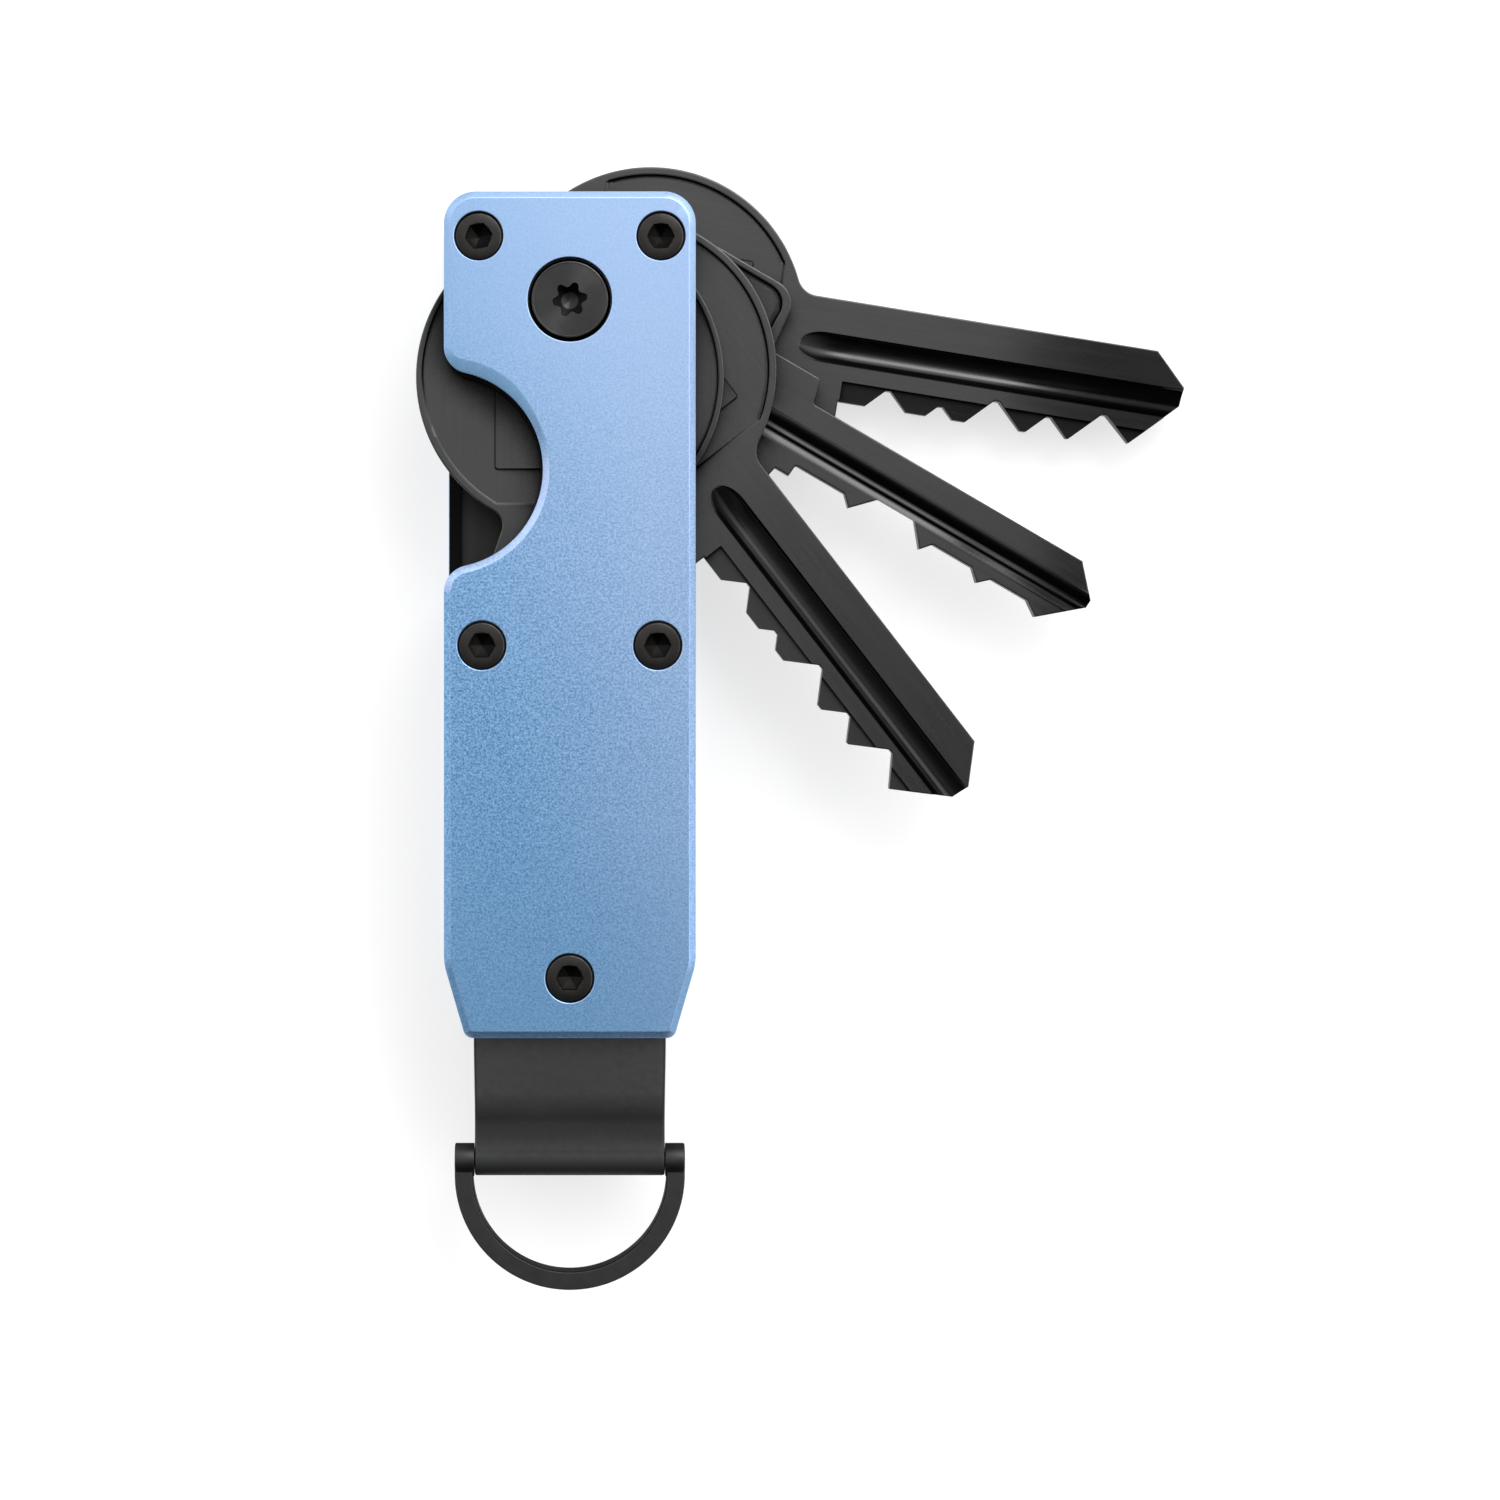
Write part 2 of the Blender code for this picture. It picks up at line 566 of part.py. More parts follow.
    # D-ring: its parent sits on the bar's axis, which is the ring's hinge.
    hinge = bpy.data.objects.new("ring_hinge", None)
    bpy.context.scene.collection.objects.link(hinge)
    hinge.location = Vector((0, RING_AXIS_Y, RING_AXIS_Z)) * MM
    outer_d = [(RING_OUTER_R, 0.0)] + arc(0, -RING_DROP, RING_OUTER_R, 0, -180, 22) + [(-RING_OUTER_R, 0.0)]
    inner_d = [(-RING_INNER_R, 0.0)] + arc(0, -RING_DROP, RING_INNER_R, -180, 0, 22) + [(RING_INNER_R, 0.0)]
    bow = add(
        "ring_bow",
        prism((outer_d + inner_d)[::-1], -RING_BOW_T / 2, RING_BOW_T / 2, 0.3, 0.3),
        ring_metal,
        parent=hinge,
    )
    for name, x in (("left", -(RING_OUTER_R + RING_INNER_R) / 2), ("right", (RING_OUTER_R + RING_INNER_R) / 2)):
        width = RING_OUTER_R - RING_INNER_R
        ear = turned(
            [
                (0.0, width / 2),
                (RING_EAR_R - 0.15, width / 2),
                (RING_EAR_R, width / 2 - 0.15),
                (RING_EAR_R, -width / 2 + 0.15),
                (RING_EAR_R - 0.15, -width / 2),
                (0.0, -width / 2),
            ],
            steps=20,
        )
        bmesh.ops.rotate(ear, cent=(0, 0, 0), matrix=Vector((0, 0, 1)).rotation_difference(Vector((1, 0, 0))).to_matrix(), verts=ear.verts)
        unite(bow, cutter(f"tool_ear_{name}", ear, parent=hinge, where=(x, 0, 0)))
    bore = turned([(0.0, 14), (RING_BAR_R + 0.05, 14), (RING_BAR_R + 0.05, -14), (0.0, -14)], steps=24)
    bmesh.ops.rotate(bore, cent=(0, 0, 0), matrix=Vector((0, 0, 1)).rotation_difference(Vector((1, 0, 0))).to_matrix(), verts=bore.verts)
    cut(bow, cutter("tool_bar_bore", bore, parent=hinge))
    bar = turned(
        [
            (0.0, RING_OUTER_R - 0.1),
            (RING_BAR_R, RING_OUTER_R - 0.1),
            (RING_BAR_R, -RING_OUTER_R + 0.1),
            (0.0, -RING_OUTER_R + 0.1),
        ],
        steps=24,
    )
    bmesh.ops.rotate(bar, cent=(0, 0, 0), matrix=Vector((0, 0, 1)).rotation_difference(Vector((1, 0, 0))).to_matrix(), verts=bar.verts)
    add("ring_bar", bar, ring_metal, parent=hinge)

    # Keys, front one first. Each has its origin on the pivot axis, at the height of its lower face.
    for n, (name, kind, size, shift, swing) in enumerate(KEYS):
        z = BAY_FLOOR_Z + 2 * FIT_GAP + WASHER_T + (KEY_COUNT - 1 - n) * STACK_PITCH
        outline = round_key_outline(size) if kind == "round" else square_key_outline(size)
        outline = [(x + shift[0], y + shift[1]) for x, y in outline]
        key = add(name, prism(outline, 0.0, KEY_T), key_metal, where=(0, PIVOT_Y, z), turn=swing - 90)
        bore = [(0.0, KEY_T + 1), (BORE_R, KEY_T + 1), (BORE_R, -1.0), (0.0, -1.0)]
        cut(key, cutter(f"tool_bore_{name}", turned(bore), parent=key))
        if kind == "round":
            start, y, half_w = GROOVE_X * size + shift[0], GROOVE_Y * size + shift[1], GROOVE_W * size / 2
        else:
            start, y, half_w = SQ_NECK_X - 1.5, SQ_GROOVE_Y, SQ_GROOVE_W / 2
        slot = arc(start + half_w, y, half_w, 270, 90, 8) + [(70.0, y + half_w), (70.0, y - half_w)]
        slot = slot[::-1]
        for side, low, high in (("front", KEY_T - GROOVE_DEPTH, KEY_T + 1), ("back", -1.0, GROOVE_DEPTH)):
            cut(key, cutter(f"tool_groove_{side}_{name}", prism(slot, low, high), parent=key))
        if kind == "round":
            edge, face = WARD_Y * size + shift[1], (SHOULDER_X + 0.1) * size + shift[0]
            ward = [(face, edge), (face, -12), (70, -12), (70, edge)]
            cut(key, cutter(f"tool_ward_{name}", prism(ward, KEY_T - WARD_DEPTH, KEY_T + 1), parent=key))


main()
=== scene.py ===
"""Looks of the pocket key holder: detailed meshes, finishes, floor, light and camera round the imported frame.

Shapes are worked out in millimetres in the row frame: +X is the open side, +Y the pivot end, +Z the front. Screws,
washers and keys are made about their own axis, and every mesh carries those coordinates as the attribute "local", which
its textures follow.
"""

import math

import bmesh
import bpy
from mathutils import Matrix, Vector, noise


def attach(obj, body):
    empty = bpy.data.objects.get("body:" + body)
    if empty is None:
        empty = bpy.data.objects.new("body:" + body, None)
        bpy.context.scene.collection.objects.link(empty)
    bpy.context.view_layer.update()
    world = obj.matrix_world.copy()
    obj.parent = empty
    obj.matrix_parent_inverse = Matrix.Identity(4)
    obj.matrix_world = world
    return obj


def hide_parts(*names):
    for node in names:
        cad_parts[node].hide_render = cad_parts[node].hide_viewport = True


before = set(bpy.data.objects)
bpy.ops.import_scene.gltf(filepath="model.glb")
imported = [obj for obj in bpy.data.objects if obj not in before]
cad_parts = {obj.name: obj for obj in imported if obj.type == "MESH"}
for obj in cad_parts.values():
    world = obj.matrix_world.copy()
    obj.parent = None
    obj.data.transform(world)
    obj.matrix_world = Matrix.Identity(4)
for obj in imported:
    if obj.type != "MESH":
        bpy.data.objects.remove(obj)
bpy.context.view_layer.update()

MM = 0.001

# ---------------------------------------------------------------- sizes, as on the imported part

CASE_LENGTH, CASE_WIDTH, CASE_CORNER_R = 80.0, 23.8, 3.0
FOOT_HALF_WIDTH, FOOT_TAPER_START_Y, FOOT_CORNER_R = 9.85, -33.0, 0.9
COVER_T, CHAMFER_W, CHAMFER_DROP = 1.8, 0.68, 0.52
LINER_T, LINER_INSET = 0.7, 0.2
NOTCH_X, NOTCH_Y, NOTCH_R, NOTCH_FILLET_R = -11.9, 13.75, 9.34, 2.55
NOTCH_LINER_Y, NOTCH_LINER_R = 13.6, 9.12
RAMP_W = 0.5  # how much wider the chamfer is on the notch's upper side

PIVOT_Y = 29.76
KEY_T, BORE_R = 2.0, 2.6
WASHER_R, WASHER_T = 4.6, 0.25
BARREL_R = 2.5
PIVOT_HEAD_R, PIVOT_SEAT_R, PIVOT_HEAD_H, PIVOT_SHANK_R = 3.87, 3.98, 1.15, 1.45
SCREW_HEAD_R, SCREW_SEAT_R, SCREW_HEAD_H, SCREW_SHANK_R, SCREW_HOLE_R = 2.24, 2.32, 1.1, 1.2, 1.3
HEX_AF, HEX_DEPTH, HEAD_SUNK = 2.3, 0.8, 0.1
PLACES = (
    # name, x, y, shank below the cover, how far the hexagon is turned
    ("top_left", -8.6, 35.75, 0.8, 10.0),
    ("top_right", 8.6, 35.75, 0.8, 0.0),
    ("middle_left", -8.3, -2.9, 4.0, 0.0),
    ("middle_right", 8.3, -2.9, 0.8, 2.0),
    ("end", 0.0, -34.3, 4.6, 0.0),
)

BACK_LINER_Z, BAY_FLOOR_Z, BAY_CEILING_Z = 1.9, 2.6, 12.85
FRONT_LINER_Z, FRONT_COVER_Z, CASE_T = 12.85, 13.65, 15.45
STACK_PITCH = 2.45

STRAP_W, STRAP_T, STRAP_TOP_Y, STRAP_EXIT_Y, STRAP_PINCH_Y = 18.3, 0.7, -31.6, -39.6, -48.5
RING_AXIS_Y, RING_AXIS_Z = -52.62, 7.725
RING_BAR_R, RING_EAR_R, RING_INNER_R, RING_OUTER_R, RING_DROP, RING_BOW_T = 0.7, 1.6, 9.32, 11.08, 1.31, 2.4

BOW_X, BOW_Y, BOW_R = 7.95, 0.15, 14.97
BLADE_TOP_Y, BLADE_CUT_Y = 5.15, -4.66
SHOULDER_X, SHOULDER_Y = 27.2, -7.8
WAIST_Y, WAIST_R, WAIST_SLOPE = -6.4, 1.6, 18.5
TIP_X = 60.3
CUT_FIRST, CUT_PITCH, CUT_STEP, CUT_FLAT, CUT_CODE = 4.75, 5.28, 0.35, 0.5, (5, 3, 7, 5, 8)
GROOVE_X, GROOVE_Y = 22.5, 0.35
WARD_Y, WARD_DEPTH = -2.7, 0.4
SQ_BACK_X, SQ_FRONT_X, SQ_AXIS_Y, SQ_HALF_W, SQ_BACK_R, SQ_FRONT_R = -5.0, 18.97, 0.25, 12.06, 6.0, 2.4
SQ_NECK_X, SQ_NECK_HALF_W, SQ_BLADE_TOP_Y, SQ_BLADE_CUT_Y, SQ_TIP_X = 24.5, 5.96, 3.79, -3.3, 57.8
SQ_CUTS = ((26.6, 32.05, 1.1), (35.2, 39.2, 2.3), (41.9, 46.3, 1.15), (48.5, 52.5, 1.1))
KEYS = (
    # node, body, kind, size, hole's offset, swing
    ("key_front", "front_key", "round", 0.98, (-0.7, -0.13), 0.0),
    ("key_second", "second_key", "round", 0.995, (0.0, 0.0), 37.7),
    ("key_third", "third_key", "square", 1.0, (0.0, 0.0), 59.7),
    ("key_back", "back_key", "round", 1.0, (0.0, 0.0), 80.8),
)


# ---------------------------------------------------------------- outlines


def arc(cx, cy, r, start, end, steps):
    """Points on an arc, in degrees, both ends included."""
    turns = [math.radians(start + (end - start) * i / steps) for i in range(steps + 1)]
    return [(cx + r * math.cos(t), cy + r * math.sin(t)) for t in turns]


def rounded(corners, steps=8):
    """A closed outline from corners (x, y, radius), each corner turned into an arc."""
    out = []
    for i, (x, y, r) in enumerate(corners):
        here = Vector((x, y))
        if r <= 0:
            out.append((x, y))
            continue
        back = (Vector(corners[i - 1][:2]) - here).normalized()
        on = (Vector(corners[(i + 1) % len(corners)][:2]) - here).normalized()
        half = back.angle(on) / 2
        reach = r / math.tan(half)
        centre = here + (back + on).normalized() * (r / math.sin(half))
        first, last = here + back * reach - centre, here + on * reach - centre
        a0 = math.atan2(first.y, first.x)
        turn = math.atan2(last.y, last.x) - a0
        turn = (turn + math.pi) % (2 * math.pi) - math.pi
        for k in range(steps + 1):
            a = a0 + turn * k / steps
            out.append((centre.x + r * math.cos(a), centre.y + r * math.sin(a)))
    return out


def tidy(outline):
    """The outline without doubled points, counter-clockwise."""
    out = []
    for p in outline:
        if not out or math.dist(p, out[-1]) > 0.004:
            out.append(p)
    if math.dist(out[0], out[-1]) <= 0.004:
        out.pop()
    area = sum(a[0] * b[1] - b[0] * a[1] for a, b in zip(out, out[1:] + out[:1]))
    return out if area > 0 else out[::-1]


def inset(outline, width):
    """The outline moved inwards. Width is one number, or one for each point."""
    out, n = [], len(outline)
    for i, (x, y) in enumerate(outline):
        w = width[i] if isinstance(width, list) else width
        ax, ay = outline[i - 1]
        bx, by = outline[(i + 1) % n]
        d1 = Vector((x - ax, y - ay)).normalized()
        d2 = Vector((bx - x, by - y)).normalized()
        n1, n2 = Vector((-d1.y, d1.x)), Vector((-d2.y, d2.x))
        m = (n1 + n2) * (w / max(1 + n1.dot(n2), 0.3))
        out.append((x + m.x, y + m.y))
    return out


def smooth01(t):
    t = max(0.0, min(1.0, t))
    return t * t * (3 - 2 * t)


def case_outline(inset_w, notch=None):
    """The case seen from the front with, for the notch (centre y, radius), each point's share of the wide ramp."""
    half_w, half_l = CASE_WIDTH / 2 - inset_w, CASE_LENGTH / 2 - inset_w
    foot, corner = FOOT_HALF_WIDTH - inset_w, max(CASE_CORNER_R - inset_w, 0.5)
    before = rounded(
        [
            (half_w, FOOT_TAPER_START_Y, 6.0),
            (half_w, half_l, corner),
            (-half_w, half_l, corner),
            (-half_w, 30.0, 0.0),
            (-half_w, 0.0, 0.0),
            (-half_w, FOOT_TAPER_START_Y, 6.0),
            (-foot, -half_l, FOOT_CORNER_R),
            (foot, -half_l, FOOT_CORNER_R),
        ],
        14,
    )
    at = before.index((-half_w, 30.0))
    first, last = before[:at], before[at + 2 :]
    if notch is None:
        return first + last, [0.0] * (len(first) + len(last))
    y, r = notch
    cx = -half_w + NOTCH_FILLET_R
    rise = math.sqrt((r + NOTCH_FILLET_R) ** 2 - (cx - NOTCH_X) ** 2)
    lean = math.degrees(math.atan2(rise, cx - NOTCH_X))
    upper = arc(cx, y + rise, NOTCH_FILLET_R, 180, 180 + lean, 14)
    curve = arc(NOTCH_X, y, r, lean, -lean, 72)[1:-1]
    lower = arc(cx, y - rise, NOTCH_FILLET_R, 180 - lean, 180, 14)
    shares = [smooth01(i / 14) for i in range(15)]
    shares += [smooth01((lean - 2 * lean * (i + 1) / 72 - 20) / (lean - 34)) for i in range(71)]
    shares += [0.0] * 15
    return first + upper + curve + lower + last, [0.0] * len(first) + shares + [0.0] * len(last)


def round_key_outline(size):
    """Round bow, single-sided blade with five V cuts."""
    fillet = 2.2
    fy = BLADE_TOP_Y + fillet
    fx = BOW_X + math.sqrt((BOW_R + fillet) ** 2 - (fy - BOW_Y) ** 2)
    top = math.degrees(math.atan2(fy - BOW_Y, fx - BOW_X))
    wy = WAIST_Y - WAIST_R
    wx = BOW_X + math.sqrt((BOW_R + WAIST_R) ** 2 - (wy - BOW_Y) ** 2)
    low = math.degrees(math.atan2(BOW_Y - wy, wx - BOW_X))
    bow = arc(BOW_X, BOW_Y, BOW_R, top, 360 - low, 132)
    waist = arc(wx, wy, WAIST_R, 180 - low, 90 - WAIST_SLOPE, 10)[1:]
    shoulder = [(SHOULDER_X - 0.5, SHOULDER_Y), (SHOULDER_X, SHOULDER_Y + 0.3), (SHOULDER_X, BLADE_CUT_Y)]
    edge = []
    for n, code in enumerate(CUT_CODE):
        x, depth = SHOULDER_X + CUT_FIRST + n * CUT_PITCH, code * CUT_STEP
        left, right = x - CUT_FLAT / 2, x + CUT_FLAT / 2
        edge += [(left - depth, BLADE_CUT_Y), (left, BLADE_CUT_Y + depth)]
        edge += [(right, BLADE_CUT_Y + depth), (right + depth, BLADE_CUT_Y)]
    edge[-1] = (TIP_X - 4.46, BLADE_CUT_Y + 0.49)
    tip = [(TIP_X - 0.1, 0.2), (TIP_X, 2.0), (TIP_X - 3.1, BLADE_TOP_Y)]
    neck = arc(fx, fy, fillet, 270, 180 + top, 12)
    return [(x * size, y * size) for x, y in bow + waist + shoulder + edge + tip + neck[:-1]]


def square_key_outline(size):
    """Squared bow with rounded corners, a short neck, and a blade with flat cuts and pointed teeth."""
    top, low = SQ_AXIS_Y + SQ_HALF_W - 0.04, SQ_AXIS_Y - SQ_HALF_W + 0.04
    neck_top, neck_low = SQ_AXIS_Y + SQ_NECK_HALF_W, SQ_AXIS_Y - SQ_NECK_HALF_W
    corners = [
        (SQ_FRONT_X - 0.5, top, SQ_FRONT_R),
        (SQ_BACK_X, top, SQ_BACK_R),
        (SQ_BACK_X, low, SQ_BACK_R),
        (SQ_FRONT_X - 0.5, low, SQ_FRONT_R),
        (SQ_FRONT_X, neck_low, 0.5),
        (SQ_NECK_X, neck_low, 0.4),
        (SQ_NECK_X + 0.5, SQ_BLADE_CUT_Y - 0.1, 0.0),
        (SQ_CUTS[0][0] - 0.1, SQ_BLADE_CUT_Y - 0.1, 0.0),
    ]
    for n, (start, end, depth) in enumerate(SQ_CUTS):
        corners += [(start, SQ_BLADE_CUT_Y + depth, 0.25), (end, SQ_BLADE_CUT_Y + depth, 0.25)]
        if n + 1 < len(SQ_CUTS):
            following = SQ_CUTS[n + 1]
            share = depth / (depth + following[2])
            corners.append((end + (following[0] - end) * share, SQ_BLADE_CUT_Y + 0.1, 0.0))
    corners += [
        (SQ_TIP_X - 3.86, SQ_BLADE_CUT_Y + 0.1, 0.0),
        (SQ_TIP_X, 0.1, 0.0),
        (SQ_TIP_X, 0.9, 0.0),
        (SQ_TIP_X - 2.6, SQ_BLADE_TOP_Y, 0.0),
        (SQ_NECK_X + 0.5, SQ_BLADE_TOP_Y, 0.5),
        (SQ_NECK_X, neck_top, 0.4),
        (SQ_FRONT_X, neck_top, 0.5),
    ]
    return [(x * size, y * size) for x, y in rounded(corners)]


# ---------------------------------------------------------------- mesh tools, in millimetres


def skin(loops, cap_low=True, cap_top=True):
    """Bands of faces between closed loops of as many points each, with the first and last loop capped."""
    bm = bmesh.new()
    rows = [[bm.verts.new(p) for p in loop] for loop in loops]
    n = len(rows[0])
    for a, b in zip(rows, rows[1:]):
        for i in range(n):
            j = (i + 1) % n
            bm.faces.new((a[i], a[j], b[j], b[i]))
    if cap_low:
        bm.faces.new(rows[0][::-1])
    if cap_top:
        bm.faces.new(rows[-1])
    return bm


def rim(r, steps=3):
    """A rounded edge as (inset, drop) from the side wall to the face."""
    turns = [math.pi / 2 * i / steps for i in range(steps + 1)]
    return [(r * (1 - math.cos(t)), r * (1 - math.sin(t))) for t in turns]


def plate(outline, z0, z1, top=((0, 0),), low=((0, 0),)):
    """A plate with shaped rims, top and low as (inset, drop) from the side wall to the face."""
    loops = []
    for width, drop in reversed(list(low)):
        loops.append([(x, y, z0 + drop) for x, y in inset(outline, width)])
    for width, drop in top:
        loops.append([(x, y, z1 - drop) for x, y in inset(outline, width)])
    return skin(loops)


def prism(outline, z0, z1, flare=0.0):
    """A straight or slightly flared cutter; flare is how much wider it is at its top."""
    wide = inset(outline, -flare) if flare else outline
    return skin([[(x, y, z0) for x, y in outline], [(x, y, z1) for x, y in wide]])


def revolve(profile, steps=72, x=0.0, y=0.0, closed=False):
    """A turned solid about the upright line through x, y. The profile is (radius, z); closed makes a ring of it."""
    bm = bmesh.new()
    rows = []
    for r, z in profile:
        if r < 1e-6:
            rows.append([bm.verts.new((x, y, z))])
        else:
            rows.append(
                [
                    bm.verts.new((x + r * math.cos(2 * math.pi * i / steps), y + r * math.sin(2 * math.pi * i / steps), z))
                    for i in range(steps)
                ]
            )
    pairs = list(zip(rows, rows[1:])) + ([(rows[-1], rows[0])] if closed else [])
    for a, b in pairs:
        for i in range(steps):
            j = (i + 1) % steps
            if len(a) == 1:
                bm.faces.new((a[0], b[j], b[i]))
            elif len(b) == 1:
                bm.faces.new((a[i], a[j], b[0]))
            else:
                bm.faces.new((a[i], a[j], b[j], b[i]))
    bmesh.ops.recalc_face_normals(bm, faces=bm.faces)
    return bm


def lay_down(bm):
    """Turns a solid made about Z so that its axis is X."""
    bmesh.ops.rotate(bm, cent=(0, 0, 0), matrix=Matrix.Rotation(math.pi / 2, 3, "Y"), verts=bm.verts)
    return bm


def shift(bm, by):
    bmesh.ops.translate(bm, vec=by, verts=bm.verts)
    return bm


def as_object(bm, name):
    bmesh.ops.recalc_face_normals(bm, faces=bm.faces)
    mesh = bpy.data.meshes.new(name)
    bm.to_mesh(mesh)
    bm.free()
    obj = bpy.data.objects.new(name, mesh)
    bpy.context.scene.collection.objects.link(obj)
    return obj


def combine(bm, tools, operation="DIFFERENCE"):
    """bm cut by, or joined with, each of the tools."""
    host = as_object(bm, "host")
    helpers = [as_object(t, "helper") for t in tools]
    for h in helpers:
        step = host.modifiers.new("step", "BOOLEAN")
        step.operation = operation
        step.solver = "EXACT"
        step.object = h
    dg = bpy.context.evaluated_depsgraph_get()
    made = bpy.data.meshes.new_from_object(host.evaluated_get(dg))
    out = bmesh.new()
    out.from_mesh(made)
    bpy.data.meshes.remove(made)
    for o in [host] + helpers:
        mesh = o.data
        bpy.data.objects.remove(o)
        bpy.data.meshes.remove(mesh)
    bmesh.ops.remove_doubles(out, verts=out.verts, dist=2e-4)
    bmesh.ops.dissolve_degenerate(out, edges=out.edges, dist=2e-4)
    return out


def narrow_faces(mesh, limit, spared=None):
    """Marks the faces of broken edges, which are slimmer than the limit, for the wear in the finishes."""
    marks = mesh.attributes.new("edge", "FLOAT", "FACE")
    values = []
    for p in mesh.polygons:
        ring = [mesh.vertices[i].co for i in p.vertices]
        longest = max((a - b).length for a, b in zip(ring, ring[1:] + ring[:1]))
        slim = p.area / longest < limit * MM and longest > 1.5 * p.area / longest
        oblique = 0.12 < abs(p.normal.z) < 0.985 or abs(p.normal.z) <= 0.12 and p.area / longest < 0.5 * limit * MM
        values.append(1.0 if slim and oblique and not (spared and spared(p.center / MM, p.normal)) else 0.0)
    marks.data.foreach_set("value", values)


def add(name, bm, finish, body, nodes=None, where=(0, 0, 0), turn=0.0, smooth=30, edge=0.09, polish=None, painted_light=None):
    """A finished piece from a bmesh in millimetres, riding on its body and standing for its CAD node."""
    bmesh.ops.recalc_face_normals(bm, faces=bm.faces)
    bmesh.ops.scale(bm, vec=(MM, MM, MM), verts=bm.verts)
    mesh = bpy.data.meshes.new(name)
    bm.to_mesh(mesh)
    bm.free()
    mesh.materials.append(finish)
    narrow_faces(mesh, edge, polish)
    # The second mark carries painted light: faces painted paler as highlight or darker as shade.
    for mark, rule in (("polish", polish), ("painted_light", painted_light)):
        if rule:
            marks = mesh.attributes.new(mark, "FLOAT", "FACE")
            marks.data.foreach_set("value", [float(rule(p.center / MM, p.normal)) for p in mesh.polygons])
    local = mesh.attributes.new("local", "FLOAT_VECTOR", "POINT")
    local.data.foreach_set("vector", [c for v in mesh.vertices for c in v.co])
    mesh.transform(Matrix.Rotation(math.radians(turn), 4, "Z"))
    mesh.shade_smooth()
    mesh.set_sharp_from_angle(angle=math.radians(smooth))
    obj = bpy.data.objects.new(name, mesh)
    bpy.context.scene.collection.objects.link(obj)
    obj.location = Vector(where) * MM
    weighted = obj.modifiers.new("weighted_normals", "WEIGHTED_NORMAL")
    weighted.mode = "FACE_AREA"
    weighted.keep_sharp = True
    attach(obj, body)
    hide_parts(*(nodes or [name.removesuffix("_piece")]))
    return obj


# ---------------------------------------------------------------- finishes


# Shaded and sheened copies of the blue: the first pair at the shaded end, the second at the painted sheen's pale end.
ANODISED_SHADED_AND_SHEENED_TONES = (
    (0.035, 0.18, 0.392, 1),
    (0.277, 0.515, 0.82, 1),
    (0.242, 0.393, 0.633, 1),
    (0.413, 0.568, 0.845, 1),
)


class Finish:
    """A material's node tree, with short calls for the nodes it needs."""

    def __init__(self, name):
        self.mat = bpy.data.materials.new(name)
        self.mat.use_nodes = True
        self.tree = self.mat.node_tree
        self.shader = self.tree.nodes["Principled BSDF"]
        self.where = self.node("ShaderNodeAttribute", attribute_name="local").outputs["Vector"]

    def node(self, kind, inputs=None, **settings):
        made = self.tree.nodes.new(kind)
        for key, value in settings.items():
            setattr(made, key, value)
        for key, value in (inputs or {}).items():
            self.put(made.inputs[key], value)
        return made

    def put(self, socket, value):
        if isinstance(value, bpy.types.NodeSocket):
            self.tree.links.new(value, socket)
        else:
            socket.default_value = value

    def scaled(self, x, y, z):
        return self.node("ShaderNodeMapping", {"Vector": self.where, "Scale": (x, y, z)}).outputs["Vector"]

    def noise(self, scale, detail=2.0, roughness=0.5, at=None):
        return self.node(
            "ShaderNodeTexNoise", {"Vector": at or self.where, "Scale": scale, "Detail": detail, "Roughness": roughness}
        ).outputs["Fac"]

    def span(self, value, low, high, out_low=0.0, out_high=1.0):
        return self.node(
            "ShaderNodeMapRange",
            {"Value": value, "From Min": low, "From Max": high, "To Min": out_low, "To Max": out_high},
        ).outputs["Result"]

    def sum(self, a, b, kind="ADD"):
        return self.node("ShaderNodeMath", {0: a, 1: b}, operation=kind).outputs[0]

    def mix(self, share, a, b, kind="MIX"):
        made = self.node("ShaderNodeMix", data_type="RGBA", blend_type=kind)
        self.put(made.inputs[0], share)
        self.put(made.inputs[6], a)
        self.put(made.inputs[7], b)
        return made.outputs[2]

    def axis(self, name):
        return self.node("ShaderNodeSeparateXYZ", {"Vector": self.where}).outputs[name]

    def edge(self):
        return self.node("ShaderNodeAttribute", attribute_name="edge").outputs["Fac"]

    def bump(self, height, strength, distance, under=None):
        made = self.node("ShaderNodeBump", {"Height": height, "Strength": strength, "Distance": distance})
        if under:
            self.put(made.inputs["Normal"], under)
        return made.outputs["Normal"]

    def set(self, **values):
        for key, value in values.items():
            self.put(self.shader.inputs[key.replace("_", " ")], value)
        return self.mat


def grey(v, warm=0.0):
    return (v * (1 + warm), v, v * (1 - warm), 1)


